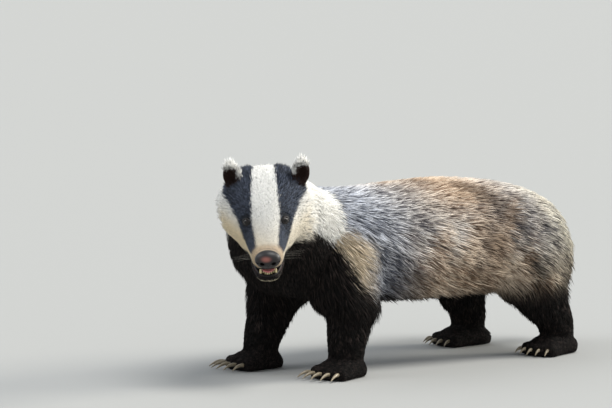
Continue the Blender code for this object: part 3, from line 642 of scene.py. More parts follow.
def combed(a):
    """The hair at each point: length, width and lift in metres, its cover and how straight it stands."""
    rim = ear_rim(a)
    crown = a["head"] * ramp(-a["f"], 1.5, 4.5) * ramp(a["u"], 1.0, 2.8) * ramp(np.abs(a["s"]), 1.2, 2.0)
    chin = a["head"] * ramp(-a["u"], 4.6, 5.2) * ramp(a["f"], 0.5, 2)
    shin = a["leg"] * (1 - ramp(a["z"], 0.035, 0.08))
    weights = {"ruff": ruff_of(a), "crown": crown, "chin": chin, "leg": a["leg"], "shin": shin,
               "foot": a["foot"], "tail": a["tail"], "ear": a["ear"], "rim": rim}
    rows, face = on_body(a), on_face(a)
    rows += face * a["head"] - rows * a["head"]
    for name, guide in GUIDES.items():
        rows += np.reshape(guide, (5, 1)) * weights[name] - rows * weights[name]
    rows[0] += EAR_POINT * (rim * np.exp(-(a["ear_local"][:, 0] / 0.45) ** 2))
    return rows[0] / 1000, rows[1] / 1000, rows[2] / 1000, rows[3], rows[4]


print("the hair is", [round(float(v) * 1000, 1) for v in np.percentile(combed(at_skin)[0], (0, 50, 100))],
      "mm long: the shortest, the middle and the longest")

# %% Guides of direction
# how steeply the hair runs down, by x: steep at the neck and the rump, and gently along the back
SLOPE = [(-0.30, 1.5), (-0.20, 0.95), (-0.10, 0.45), (0.05, 0.30), (0.15, 0.42), (0.20, 0.8), (0.25, 1.3)]
LEG_WAY, FOOT_WAY = np.array([0.25, 0, -1.0]), np.array([-1.0, 0, -0.45])


def lie(a):
    """The direction that the hair runs in at each point."""
    forward, up, rightward = (np.array(v) for v in (HEAD_FORWARD, HEAD_UP, HEAD_RIGHT))
    side = np.sign(a["s"])[:, None]
    way = unit(-ring_along[a["near"]] - np.array([[0, 0, 1]]) * read(a["x"], SLOPE)[:, None])
    face = (-forward + rightward * 0.16 * side * ramp(np.abs(a["s"]), 0.2, 3)[:, None]
            - up * (0.55 * ramp(-a["u"], -0.5, 3.5))[:, None])
    flare = -forward * 0.55 + rightward * 0.9 * side - up * 0.3
    for weight, guide in ((a["head"], face), (ruff_of(a) * 0.6, flare), (a["leg"], LEG_WAY),
                          (a["foot"], FOOT_WAY), (a["tail"], tail_along[a["tail_near"]])):
        way = unit(way * (1 - weight[:, None]) + unit(guide) * weight[:, None])
    fan = unit(up + rightward * (a["ear_local"][:, 0:1] / EAR_RADII[0] * 0.30))
    return unit(way * (1 - a["ear"][:, None]) + fan * a["ear"][:, None])


# %% [markdown]
# ## The markings
#
# A badger's face is white with a black stripe from near the nose through each eye and over the ear. White
# reaches back over the cheek to the side of the neck. Throat, chest, belly and legs are black. The back
# looks grey because each guard hair is pale, then black, then pale again at its tip. The boundaries below
# are read along the head and round the trunk, so that both sides match. A painted picture laid over the
# body would stretch, and boundaries in the body's own frame don't.

# %% Where each marking lies
# f along the head, and the s or u of the edge of the middle stripe, the black stripe and the black throat
CENTRE_STRIPE = [(-13, 1.1), (-9, 1.3), (-6.6, 1.45), (-1.6, 1.78), (0.7, 1.85), (3.8, 1.52), (5.2, 1.45),
                 (7, 1.5)]
STRIPE_EDGE = [(-11, 0.8), (-8.1, 1.0), (-6.2, 1.35), (-3.1, 1.05), (-0.9, -0.15), (0.6, -1.65), (1.3, -2.28),
               (2.2, -2.60), (3.4, -2.60), (4.5, -2.42), (6, -2.1)]
CHEEK_EDGE = [(-12, -10.5), (-8.2, -8.6), (-6.2, -6.8), (-3.6, -5.5), (-1, -4.75), (0.7, -4.05),
              (2.5, -3.75), (7, -3.6)]
# the angle from the spine and the ring where the neck's white ends, then the ring and the angle of the black
WHITE_BACK = [(0, 24.7), (12, 23.8), (21, 22.1), (61, 22.4), (83, 22.2), (100, 23.5), (180, 24)]
BLACK_EDGE = [(0, 142), (12, 141), (15, 138), (17, 132), (18, 127), (19, 122), (20, 117), (21, 111),
              (22, 106), (23, 101), (25, 107), (27, 113), (30, 118), (33, 120)]


def zones(a):
    """How far each point lies in each marking, from 0 to 1."""
    s, f, u, angle, t = np.abs(a["s"]), a["f"], a["u"], a["angle"], a["t"]
    centre = 1 - ramp(s - read(f, CENTRE_STRIPE), -0.12, 0.12)
    stripe = (1 - centre) * ramp(u - read(f, STRIPE_EDGE), -0.15, 0.15) * (1 - ramp(f, 5.2, 5.9))
    return {"stripe": stripe, "under": 1 - ramp(u - read(f, CHEEK_EDGE), -0.25, 0.25),
            "black": ramp(angle - read(t, BLACK_EDGE), -2.5, 2.5),
            "white": ramp(t - read(angle, WHITE_BACK), -0.35, 0.35),
            "nape": ramp(angle, 3, 6) * (1 - ramp(angle, 22, 27)) * ramp(t, 21.5, 24.5)}


striped, head = zones(at_skin)["stripe"], at_skin["head"]
print(f"the black stripes cover {(striped * head).sum() / head.sum():.0%} of the head")

# %% [markdown]
# ### Its colours
#
# Each hair has three colours, for its root, its middle and its tip. Two random numbers, one of the lock it
# belongs to and one of its own, choose how pale it is. That gives the fine streaks of the coat. Each
# colour is an sRGB hex value, which one function turns into the linear light that a shader wants.

# %% Colours of the trunk


def linear(code):
    """Linear red, green and blue of an sRGB hex value."""
    channels = [int(code[i:i + 2], 16) / 255 for i in (0, 2, 4)]
    return np.array([c / 12.92 if c <= 0.04045 else ((c + 0.055) / 1.055) ** 2.4 for c in channels])


def mix(a, b, weight):
    """A blend of a and b, by the weight of b."""
    return a + (b - a) * np.asarray(weight)[..., None]


TAN = linear("D2BE9E")
# the palest and the darkest hair of each region. Warm is a brown patch on the back and the flank, and the
# darker brown before the thigh is painted shade of the fold there
PAIRS = {name: [linear(code) for code in codes] for name, codes in {
    "shoulder": ("D2D6E0", "464A55"), "back": ("DAD5D0", "47444A"), "warm": ("E2CDB6", "86694F"),
    "flank": ("B9AC98", "453D35"), "thigh_fold_shade": ("978370", "44372D"), "rump": ("EFE9D8", "4A474A"),
    "tail": ("DDD4BD", "8F8674")}.items()}
# x at the spine, half width and strength of the folds, dark with painted shade, and of the crests between
# them, pale with painted light
FOLDS = [(0.034, 0.017, -1.5), (0.068, 0.010, 0.3), (0.090, 0.009, -0.8), (0.116, 0.016, 1.3),
         (-0.120, 0.014, -0.7)]
FOLD_SLANT = 0.00108


def clouds(p, size, seed):
    """Soft numbers of about -1 to 1 that rise and fall over patches of the given size."""
    chance = np.random.default_rng(seed)
    waves = chance.normal(size=(8, 3)) * 3.9 / size
    return np.sin(p @ waves.T + chance.random(8) * 2 * np.pi).sum(1) / 2.4


def bands(a):
    """Pale and dark bands that run slantwise down the flanks: random tone, with painted shade in the folds
    where the fur parts over the moving body and painted light on the crests between them.
    """
    x, y, z = a["p"].T
    found = clouds(np.stack([(x + z) * 0.71, y * 0.5, (x - z) * 0.25], 1), 0.055, 5)
    for start, half, strength in FOLDS:
        slant = a["x"] - start - FOLD_SLANT * a["angle"]
        fade = ramp(a["angle"], 15, 35) * (1 - ramp(a["angle"], 92, 112) * (start < 0))
        found += (strength - found) * np.exp(-(slant / half) ** 2) * fade
    return found


def body_pair(a):
    """The palest and the darkest colour of the coat at each point of the trunk."""
    x, angle = a["x"], a["angle"]
    patch = ramp(clouds(a["p"], 0.09, 2), -0.2, 0.9) * ramp(x, -0.10, -0.02) * (1 - ramp(x, 0.16, 0.22))
    saddle = np.exp(-((x - 0.045) / 0.070) ** 2) * (1 - ramp(angle, 45, 85))
    # painted light: the low front flank faces down, away from the lamps, so its colours are painted up to 1.7
    # times brighter
    painted_lift = 0.7 * ramp(angle, 88, 106) * ramp(x, -0.13, -0.10) * (1 - ramp(x, -0.07, 0.01))
    # painted shade of the fold on the flank in front of the thigh, as a darker brown
    thigh_fold_shade = np.exp(-((x - 0.072) / 0.034) ** 2 - ((angle - 90) / 22) ** 2)
    # painted shade: where the folds are darkest, both colours are darkened, behind the shoulders and off the
    # tail
    fold_shade = np.clip(-bands(a) - 0.6, 0, 1)[:, None] * (ramp(x, -0.16, -0.08) * (1 - a["tail"]))[:, None]
    found = []
    for k in (0, 1):
        c = np.tile(PAIRS["back"][k], (len(x), 1))
        c = mix(c, PAIRS["shoulder"][k], 1 - ramp(x, -0.14, -0.02))
        c = mix(c, PAIRS["rump"][k], ramp(x, 0.14, 0.22))
        c = mix(c, PAIRS["flank"][k], ramp(angle, 80, 115) * ramp(x, -0.10, 0.02) * 0.85)
        c = c * (1 + painted_lift)[:, None]
        c = mix(c, PAIRS["warm"][k], np.maximum(patch * 0.65, saddle * 0.9))
        c = mix(c, PAIRS["thigh_fold_shade"][k], thigh_fold_shade)
        c = mix(c, PAIRS["tail"][k], a["tail"])
        found.append(c * (1 - 0.45 * fold_shade))
    return found


def body_colours(a, pale):
    """Root, middle and tip colours of the trunk's hair, with a cream patch low on the shoulder."""
    light, dark = body_pair(a)
    # the folds' painted shade and the crests' painted light also change how pale each hair is, behind the
    # shoulders
    pale = np.clip(pale + 0.20 * bands(a) * ramp(a["x"], -0.16, -0.08), 0, 1)
    cream = ramp(a["t"], 17.5, 20.5) * (1 - ramp(a["t"], 23, 25)) * ramp(a["angle"], 78, 92) * 0.8
    return [mix(mix(dark, light, weight), TAN * (0.72 + 0.4 * pale[:, None]), cream)
            for weight in (np.full(len(pale), 0.45), pale ** 2, np.clip(0.22 + 0.95 * pale, 0, 1))]


# %% Colours of the head and the legs
WHITE, WARM_WHITE = linear("FAF8F3"), linear("E4D2AE")
# the black is a blue-grey: partly the fur's own colour, partly a painted sheen of the sky on it
BLACK, SOOT, EAR_BROWN = linear("363B46"), linear("191412"), linear("2A1A14")
MUZZLE, CHIN = linear("A58E74"), linear("CFC5AA")
# how white the middle of the face is, from the thin hair of the muzzle back to the crown: painted shade greys
# the white towards the nose, and painted light lifts the crown above plain white
FACE_WHITE_AND_SHADE = [(-6, 0.56), (-3.5, 0.58), (0, 0.71), (6, 0.90), (9, 1.03)]
EYE_PLACE = (2.45, 0.50, 0.08)


def face_colour(a, pale, white, zone):
    """The face with its warm tint and its black stripes, and the black alone. The right cheek lies in shade:
    its warm tint is stronger there as painted shade, and its white is painted brighter than the left cheek's
    as painted light.
    """
    # painted shade on the face's white towards the nose, and painted light on the crown
    white_and_shade = read(-a["f"], FACE_WHITE_AND_SHADE) * a["head"] + 1 - a["head"]
    cheek, shaded_cheek = ramp(np.abs(a["s"]), 2.5, 4.5), ramp(a["s"], -2, 2)
    # warm tint low on the cheeks: partly the fur's own tone, partly painted shade, stronger on the shaded
    # right cheek
    tan_and_shade = (0.45 + 0.40 * ramp(-a["u"], -0.5, 2.5)) * (0.5 + 0.6 * shaded_cheek)
    # the ruff's white greys towards the front, and is painted lighter on the shaded right cheek and darker on
    # the lit left one, to even out the light
    ruff_white = (0.74 + 0.26 * ramp(-a["f"], 3, 8)) * (0.88 + 0.17 * shaded_cheek)
    found = mix(white * (white_and_shade + (ruff_white - white_and_shade) * cheek)[:, None], WARM_WHITE * (0.74 + 0.22 * pale),
                ramp(-a["u"], -1.5, 2.0) * ramp(a["f"], -6.5, -3.5) * tan_and_shade)
    off_eye = ((np.abs(a["s"]) - EYE_PLACE[0]) / 1.1) ** 2 + ((a["f"] - EYE_PLACE[1]) / 1.3) ** 2
    black = BLACK * (0.50 + 1.8 * pale ** 3) * (1 - 0.55 * np.exp(-off_eye))[:, None]
    return mix(found, black, zone["stripe"]), black


def colours(a, pale):
    """Root, middle and tip colours at each point. Pale runs from 0 to 1."""
    zone = zones(a)
    body = body_colours(a, pale)
    pale = pale[:, None]
    white, soot = WHITE * (0.90 + 0.10 * pale), SOOT * (0.35 + 3.6 * pale ** 4)
    face, black = face_colour(a, pale, white, zone)
    face = mix(face, soot, zone["under"])
    muzzle = ramp(a["f"], 4.8, 5.9) * (1 - ramp(a["u"], -0.9, -0.4))
    face = mix(face, MUZZLE, muzzle * 0.7 * (1 - zone["under"]))
    chin = ramp(a["u"], -6.2, -6.05) * (1 - ramp(a["u"], -5.9, -5.78)) * ramp(a["f"], 3.0, 4.4)
    face = mix(face, CHIN * (0.8 + 0.3 * pale), chin)
    ear = mix(EAR_BROWN * (0.7 + 0.5 * pale), white, ear_rim(a))
    sooty = np.maximum(zone["black"], a["leg"] * ramp(0.13 - a["z"], 0, 0.03)) * (1 - a["tail"])
    found = []
    for c in body:
        c = mix(c, white, zone["white"])
        c = mix(c, black + 0.03, zone["nape"] * 0.8)
        c = mix(c, soot, sooty)
        found.append(mix(mix(c, face, a["head"]), ear, a["ear"]))
    return found


# %% [markdown]
# ### Paint for the skin
#
# The skin carries the same markings as the coat over it, a little darker, as skin in the shade of its own
# hair looks. The open mouth is painted a very dark red, which is painted shade in its hollow. The colours
# are kept on the mesh as an attribute, which a material reads, because the coat's pattern changes from hair
# to hair.

# %% Materials
TEXTURES = {"noise": "ShaderNodeTexNoise", "cobbles": "ShaderNodeTexVoronoi"}


def add(tree, kind, links=(), **settings):
    """Adds a node. Settings name its own properties, or its inputs by their number as in i0=0.5."""
    node = tree.nodes.new(kind)
    for name, value in settings.items():
        if name[0] == "i" and name[1:].isdigit():
            node.inputs[int(name[1:])].default_value = value
        else:
            setattr(node, name, value)
    for source, socket in links:
        tree.links.new(source, node.inputs[socket])
    return node


def finish_of(name, mark=None, grain=None, shades=None, bump=None, **uniform):
    """A new material. Uniform values go straight on the shader's sockets.

    Its colour is a colour attribute of the mesh, given by mark, or two shades that a fine grain mixes. Grain
    is a texture with its scale and detail, and bump is the grain's strength and its depth in metres.
    Cobbles are inverted, because their value is lowest in the middle of each.
    """
    made = bpy.data.materials.new(name)
    made.use_nodes = True
    tree = made.node_tree
    shader = tree.nodes["Principled BSDF"]
    for socket, value in uniform.items():
        shader.inputs[socket.replace("_", " ")].default_value = value
    if mark:
        colour = add(tree, "ShaderNodeAttribute", attribute_name=mark)
        tree.links.new(colour.outputs["Color"], shader.inputs["Base Color"])
    if grain:
        kind, scale, detail = grain
        place = add(tree, "ShaderNodeTexCoord")
        texture = add(tree, TEXTURES[kind], [(place.outputs["Object"], "Vector")], i2=scale, i3=detail)
    if shades:
        between = add(tree, "ShaderNodeValToRGB", [(texture.outputs[0], 0)])
        for element, shade in zip(between.color_ramp.elements, shades):
            element.color = (*linear(shade), 1)
        tree.links.new(between.outputs[0], shader.inputs["Base Color"])
    if bump:
        strength, depth = bump
        relief = add(tree, "ShaderNodeBump", [(texture.outputs[0], "Height")], invert=kind == "cobbles",
                     i0=strength, i1=depth)
        tree.links.new(relief.outputs[0], shader.inputs["Normal"])
    return made


# %% Painting the skin
# half width, start and end along the muzzle, bottom and top of the open mouth, in centimetres
PAINTED_MOUTH = (2.2, 0, 6.3, -5.25, -3.75)
# painted shade: the skin between the lips is a very dark red, as the open mouth's hollow looks in shade
SHADED_MOUTH_RED = linear("2A1517")


def in_mouth(a, window):
    """True at points between the lips."""
    half, start, end, bottom, top = window
    return ((np.abs(a["s"]) < half) & (a["f"] > start) & (a["f"] < end) & (a["u"] > bottom) & (a["u"] < top))


def paint(obj, name, rgb):
    """Keeps linear colours on the points of a mesh."""
    layer = obj.data.color_attributes.new(name, "FLOAT_COLOR", "POINT")
    layer.data.foreach_set("color", np.concatenate([np.clip(rgb, 0, 1), np.ones((len(rgb), 1))], 1).ravel())


under_coat = colours(at_skin, np.full(len(skin_co), 0.45))[1]
under_coat *= 0.6 + 0.35 * under_coat.mean(1, keepdims=True)
paint(skin, "Coat colour", mix(under_coat, SHADED_MOUTH_RED, in_mouth(at_skin, PAINTED_MOUTH) * at_skin["head"]))
skin.data.materials.clear()
skin.data.materials.append(finish_of("short_fur_on_skin", "Coat colour", ("noise", 900, 3),
                                     bump=(0.5, 0.0006), Roughness=0.8, Specular_IOR_Level=0.2))
flesh_nodes = ["head", "neck", "torso", "tail", "lower_jaw", "ear_left", "ear_right"]
flesh_nodes += [f"{kind}_{what}_{name}" for kind in LEGS for what in ("leg", "foot") for name in SIDES]
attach(skin, "root")
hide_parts(*flesh_nodes)
print("the skin takes the place of", len(flesh_nodes), "solids")

# %% [markdown]
# ## The bare parts of the head
#
# Nose, eyes, lids, mouth and claws have no fur, so each is a piece of its own with fine shapes.
#
# ### The nose
#
# A badger's nose is a broad pad of hairless, moist skin, pebbled in fine cobbles. Two comma-shaped nostrils
# open low at its sides, and a groove runs down its middle. A sphere is pressed into the pad's size, smaller
# ones cut the openings, and a fine remesh rounds all the edges as skin does. It is black with a pink patch,
# and round the nostrils it is painted darker still, as painted shade in the openings.

# %% The nose pad
NOSE_PLACE, NOSE_RADII, NOSTRIL_PLACE = (0, 6.98, -2.20), (1.70, 1.05, 1.26), (0.76, 7.72, -2.38)
NOSE_GROWTH, NOSE_VOXEL = 1.03, 0.0005
NOSE_BLACK, NOSE_PINK, NOSTRIL_SHADE = linear("1E1B1C"), linear("9C5F55"), linear("070606")


def head_ball(name, place, radii, segments=24, rows=16):
    """An ellipsoid in the head's frame, its place and radii in centimetres."""
    return ball(name, in_head(*place), [r * CM for r in radii], HEAD.to_3x3(), segments, rows)


nose = head_ball("nose_pad", NOSE_PLACE, [r * NOSE_GROWTH for r in NOSE_RADII], 64, 40)
for side in SIDES.values():
    s, f, u = mirrored(NOSTRIL_PLACE, side)
    cut_away(nose, head_ball("nostril", (s, f, u - 0.04), (0.34, 0.60, 0.25)))
    cut_away(nose, head_ball("slit", (s + 0.46 * side, f - 0.34, u - 0.02), (0.50, 0.36, 0.10)))
cut_away(nose, head_ball("groove", (0, 7.98, -2.95), (0.06, 0.35, 0.75)))
melt(nose, NOSE_VOXEL, 4)
print("the nose has", len(nose.data.polygons), "faces")

# %% The nose's colours
at_nose = from_head(numbers(nose.data.vertices, "co", 3))
s, f, u = at_nose.T
pink = np.exp(-(((s - 0.22) / 0.62) ** 2 + ((u + 1.72) / 0.34) ** 2) ** 1.5) * 0.75
# painted shade in the nostrils: the pad is painted darker still round each opening
nostril_shade = np.zeros(len(s))
for side in SIDES.values():
    gap = np.linalg.norm((at_nose - mirrored(NOSTRIL_PLACE, side)) / (0.40, 0.55, 0.32), axis=1)
    nostril_shade = np.maximum(nostril_shade, 1 - ramp(gap, 0.8, 1.05))
tone = mix(np.tile(NOSE_BLACK, (len(s), 1)), NOSE_PINK, pink)
paint(nose, "Skin colour", mix(tone, NOSTRIL_SHADE, nostril_shade))
nose.data.materials.append(finish_of("moist_nose_leather", "Skin colour", ("cobbles", 1300, 0),
                                     bump=(0.35, 0.0004), Roughness=0.38, Specular_IOR_Level=0.36))
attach(nose, "root")
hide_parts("nose")

# %% [markdown]
# ### The eyes and their lids
#
# The eyes are small, nearly black beads, wet and very smooth, so each is a fine sphere, drawn out a little
# in front. The lids are a rim of bare dark skin, drawn to a point toward the nose: a torus pressed to an
# almond, which keeps an even thickness all round where a cut sphere would leave a sharp edge.

# %% The eyeballs
EYE_RADIUS, EYE_DEPTH = 0.0056, 1.04
EYE_LOOK = Vector((0.62, 0.70, 0.32)).normalized()
PUPIL, IRIS, EYE_EDGE = linear("050404"), linear("140C08"), linear("0B0807")
wet_eye = finish_of("wet_dark_eye", "Skin colour", Roughness=0.05, Specular_IOR_Level=0.34)


def smooth(obj):
    """Shades all faces smooth."""
    for face in obj.data.polygons:
        face.use_smooth = True


def eye_turn(side):
    """A frame whose Z looks out of the eye, whose X lies across it and whose Y is up."""
    look = (HEAD.to_3x3() @ Vector((EYE_LOOK.x * side, EYE_LOOK.y, EYE_LOOK.z))).normalized()
    across = HEAD_UP.cross(look).normalized()
    return Matrix((across, look.cross(across), look)).transposed()


def eyeball(name, side):
    """A wet dark ball with a dark brown iris round its pupil."""
    middle, turn = in_head(*mirrored(EYE_PLACE, side)), eye_turn(side)
    made = ball("eyeball_" + name, middle, [EYE_RADIUS, EYE_RADIUS, EYE_RADIUS * EYE_DEPTH], turn, 48, 32)
    smooth(made)
    co = np.array([turn.inverted() @ (v.co - middle) for v in made.data.vertices])
    off_axis = np.hypot(co[:, 0], co[:, 1]) / EYE_RADIUS
    tone = mix(np.tile(PUPIL, (len(co), 1)), IRIS, ramp(off_axis, 0.28, 0.36))
    paint(made, "Skin colour", mix(tone, EYE_EDGE, ramp(off_axis, 0.62, 0.75)))
    made.data.materials.append(wet_eye)
    return made


# %% The lids, and both eyes
LID_RADIUS, LID_THICKNESS, LID_HEIGHT = 0.0055, 0.0015, 0.80
bare_skin = finish_of("bare_dark_skin", grain=("noise", 1500, 3), shades=("090808", "1E1918"),
                      bump=(0.4, 0.0003), Roughness=0.5, Specular_IOR_Level=0.25)


def eyelids(name, side):
    """A ring of skin, pressed to an almond that points to the nose, and bent over the eyeball."""
    bpy.ops.mesh.primitive_torus_add(major_segments=56, minor_segments=14, major_radius=LID_RADIUS,
                                     minor_radius=LID_THICKNESS)
    made = bpy.context.object
    made.name = "eyelids_" + name
    for v in made.data.vertices:
        to_nose = float(ramp(np.array(-v.co.x * side), 0.003, 0.0075))
        v.co.x -= side * 0.0013 * to_nose
        v.co.y *= LID_HEIGHT * (1 - 0.35 * to_nose)
        v.co.z = v.co.z * 0.9 + 0.0030 - 0.0016 * to_nose - 6.0 * v.co.x ** 2
    made.data.transform(Matrix.Translation(in_head(*mirrored(EYE_PLACE, side))) @ eye_turn(side).to_4x4())
    smooth(made)
    made.data.materials.append(bare_skin)
    return made


for name, side in SIDES.items():
    eye = eyeball(name, side)
    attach(eye, "root")
    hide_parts("eye_" + name)
    rim = eyelids(name, side)
    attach(rim, "root")
    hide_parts("head")
    print(eye.name, "has", len(eye.data.vertices), "points, and its lids have", len(rim.data.vertices))

# %% [markdown]
# ### The mouth
#
# The mouth stands a little open. Black rims of bare skin follow both lips, the tongue rests on the lower
# jaw, and small ivory front teeth and two canines stand behind the lower lip. The rims are tubes along the
# lips' own curve, a little nearer the opening.

# %% The rims of the lips
RIM_RADIUS = 0.15
UPPER_RIM = [(0.40, 6.66, -3.70), (1.05, 6.42, -3.80), (1.62, 5.4, -3.98), (1.95, 4.0, -4.18),
             (2.12, 2.6, -4.42)]
LOWER_RIM = [(0.40, 6.22, -5.16), (0.92, 6.02, -5.10), (1.36, 5.3, -5.00), (1.72, 4.2, -4.82),
             (1.95, 3.0, -4.62)]
for name, path in (("upper_lip_rim", UPPER_RIM), ("lower_lip_rim", LOWER_RIM)):
    rim = lip(name, path, RIM_RADIUS)
    smooth(rim)
    rim.data.materials.append(bare_skin)
    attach(rim, "root")
    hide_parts("lower_jaw" if name[0] == "l" else "head")
    print(name, "has", len(rim.data.vertices), "points")

# %% [markdown]
# #### The teeth
#
# Six small incisors stand in a bow between two longer canines that lean back. Each starts as a cube that
# is extruded and narrowed to a crown, and a subdivision then rounds it as enamel is.

# %% The teeth
# the place, half width and half depth, height and lean of a canine, in centimetres
CANINE = ((1.02, 5.74, -5.00), (0.19, 0.19), 1.10, -0.06)
INCISORS, INCISOR_GAP, INCISOR_HALF, INCISOR_HEIGHT = 6, 0.27, (0.13, 0.09), 0.58
# a crown is this much of its root's width and depth
CROWN = (0.72, 0.6, 1)


def tooth(place, half, height, lean=0.0):
    """One tooth: a cube drawn up to a narrower crown, then rounded."""
    bpy.ops.mesh.primitive_cube_add(size=1)
    made = bpy.context.object
    made.data.transform(Matrix.Diagonal((half[0] * 2 * CM, half[1] * 2 * CM, height * 0.5 * CM, 1)))
    bpy.ops.object.mode_set(mode="EDIT")
    shell = bmesh.from_edit_mesh(made.data)
    for face in shell.faces:
        face.select_set(face.normal.z > 0.9)
    bmesh.update_edit_mesh(made.data)
    bpy.ops.mesh.extrude_region_move(TRANSFORM_OT_translate={"value": (0, lean * CM, height * 0.5 * CM)})
    bpy.ops.transform.resize(value=CROWN, center_override=(0, lean * CM, height * 0.75 * CM))
    bpy.ops.object.mode_set(mode="OBJECT")
    apply(made, "SUBSURF", levels=2, render_levels=2)
    made.data.transform(Matrix.Translation(in_head(*place)) @ HEAD.to_3x3().normalized().to_4x4())
    return made


off_middle = [k - (INCISORS - 1) / 2 for k in range(INCISORS)]
teeth = [tooth((k * INCISOR_GAP, 6.08 - 0.12 * abs(k) ** 1.5, -5.10), INCISOR_HALF, INCISOR_HEIGHT)
         for k in off_middle]
teeth += [tooth(mirrored(CANINE[0], side), *CANINE[1:]) for side in SIDES.values()]
print(len(teeth), "teeth")
teeth = join("teeth", teeth)
smooth(teeth)
teeth.data.materials.append(finish_of("tooth_enamel", grain=("noise", 500, 2), shades=("B69F63", "E3D6AE"),
                                      Roughness=0.3, Specular_IOR_Level=0.5))
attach(teeth, "root")
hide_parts("lower_jaw")

# %% [markdown]
# #### The tongue
#
# The tongue is a wide, wet strap with a shallow furrow and fine papillae. A tube is pressed flat, the
# furrow is pushed in, and light scatters a little in the material, as it does in flesh.

# %% The tongue
TONGUE_HEIGHT, TONGUE_FLATNESS, FURROW_DEPTH, FURROW_HALF = -4.66, 0.34, 0.0012, 0.0018
TONGUE_PATH = [(0, 2.6, -4.75), (0, 4.0, -4.62), (0, 5.1, -4.60), (0, 5.75, -4.68), (0, 6.0, -4.78)]
tongue = head_tube("tongue_flesh", TONGUE_PATH, [0.75, 1.0, 0.95, 0.78, 0.42], 24)
tongue.data.transform(HEAD @ Matrix.Translation((0, 0, TONGUE_HEIGHT * CM))
                      @ Matrix.Diagonal((1, 1, TONGUE_FLATNESS, 1))
                      @ Matrix.Translation((0, 0, -TONGUE_HEIGHT * CM)) @ HEAD.inverted())
for v in tongue.data.vertices:
    local = HEAD.inverted() @ v.co
    v.co -= HEAD_UP * FURROW_DEPTH * math.exp(-(local.x / FURROW_HALF) ** 2)
melt(tongue, 0.0006, 3)
tongue_skin = finish_of("moist_tongue", grain=("cobbles", 1600, 0), shades=("D98C8A", "B4605F"),
                        bump=(0.5, 0.0004), Roughness=0.3, Specular_IOR_Level=0.5, Subsurface_Weight=0.15,
                        Subsurface_Scale=0.004)
tongue.data.materials.append(tongue_skin)
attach(tongue, "root")
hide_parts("tongue")
print("the tongue has", len(tongue.data.polygons), "faces")

# %% [markdown]
# ## The claws
#
# The long fore claws dig setts, so they are stout horn, mottled dark and pale by wear. The solids already
# have their size and place. A welded copy of each is subdivided, which rounds its few faces to a smooth
# horn.

# %% The claws
WELD = 1e-5
horn = finish_of("claw_horn_worn", grain=("noise", 420, 3), shades=("4F463B", "A89A80"), bump=(0.3, 0.0004),
                 Roughness=0.38, Specular_IOR_Level=0.5)
for kind in LEGS:
    for name in SIDES:
        nodes = [f"claw_{kind}_{name}_{k + 1}" for k in range(TOES)]
        copies = [bpy.data.objects.new("claw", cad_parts[node].data.copy()) for node in nodes]
        for copy in copies:
            bpy.context.scene.collection.objects.link(copy)
        claws = join(f"claws_{kind}_{name}", copies)
        bpy.ops.object.mode_set(mode="EDIT")
        bpy.ops.mesh.select_all(action="SELECT")
        bpy.ops.mesh.remove_doubles(threshold=WELD)
        bpy.ops.object.mode_set(mode="OBJECT")
        apply(claws, "SUBSURF", levels=2, render_levels=2)
        smooth(claws)
        claws.data.materials.clear()
        claws.data.materials.append(horn)
        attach(claws, "root")
        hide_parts(*nodes)
        print(claws.name, "has", len(claws.data.vertices), "points")

# %% [markdown]
# ## The whiskers
#
# A few stiff whiskers stand on the sides of the muzzle. Each is a bent wire that tapers to its tip, in two
# rows of three on each side. They are hairs, so they have no solid and are built as fine closed tubes.

# %% The whiskers
WHISKER_SEED, ROWS, COLUMNS = 11, 2, 3
RINGS, CORNERS = 6, 4
ROOT_RADIUS, TIP_RADIUS = 0.011, 0.002
chance = random.Random(WHISKER_SEED)


def whisker(first, start, length, out, side):
    """Points and faces of one whisker, numbered from first. Its start and length are in centimetres."""
    points, faces = [], []
    for k in range(RINGS):
        w = k / (RINGS - 1)
        c = Vector(start) + out * length * w + Vector((0, -0.8, -0.5)) * length * 0.45 * w * w
        r = ROOT_RADIUS * (1 - w) + TIP_RADIUS
        for j in range(CORNERS):
            b = 2 * math.pi * j / CORNERS
            points.append(in_head(c.x * side, c.y + r * math.cos(b), c.z + r * math.sin(b)))
    for k in range(RINGS - 1):
        for j in range(CORNERS):
            low, high = first + CORNERS * k, first + CORNERS * (k + 1)
            n = (j + 1) % CORNERS
            faces.append((low + j, low + n, high + n, high + j))
    ends = (first, first + CORNERS * (RINGS - 1))
    return points, faces + [tuple(end + j for j in range(CORNERS)) for end in ends]


points, faces = [], []
for side in SIDES.values():
    for row in range(ROWS):
        for column in range(COLUMNS):
            out = Vector((0.75 + chance.uniform(-0.1, 0.1), -0.15 + chance.uniform(-0.15, 0.15),
                          chance.uniform(-0.25, 0.1)))
            start = (2.05 - 0.06 * row, 5.2 - 0.62 * column, -2.9 - 0.30 * row)
            more_points, more_faces = whisker(len(points), start, 3.2 + 0.6 * column, out, side)
            points += more_points
            faces += more_faces
whiskers = new_mesh("whiskers", points, faces)
smooth(whiskers)
whiskers.data.materials.append(finish_of("whisker_hair", grain=("noise", 90, 2), shades=("3C3833", "9A958A"),
                                         Roughness=0.5, Specular_IOR_Level=0.4))
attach(whiskers, "root")
print(len(points) // (RINGS * CORNERS), "whiskers")

# %% [markdown]
# ## The coat
#
# Each tuft is a closed blade with three sides. It starts under the skin, follows the skin along the lie
# of the coat, and rises slowly to its tip. Short ones have one ring between root and tip, and long ones
# two, which lets them bend round the body. Neighbours lean together into locks, as bristly hair does.

# %% Sowing the roots
SEED = 7
# a blade covers this much of its length times its width
BLADE_SHARE = 0.62
# no hair grows on the soles, in the open mouth, round the eyes and on the nose
BARE_SOLE, BARE_MOUTH, BARE_EYE = 0.003, (1.9, 0.5, 6.6, -5.05, -3.9), 0.0074
BARE_NOSE, NOSE_MARGIN = (0, 6.95, -2.20), 1.12
draw = np.random.default_rng(SEED)


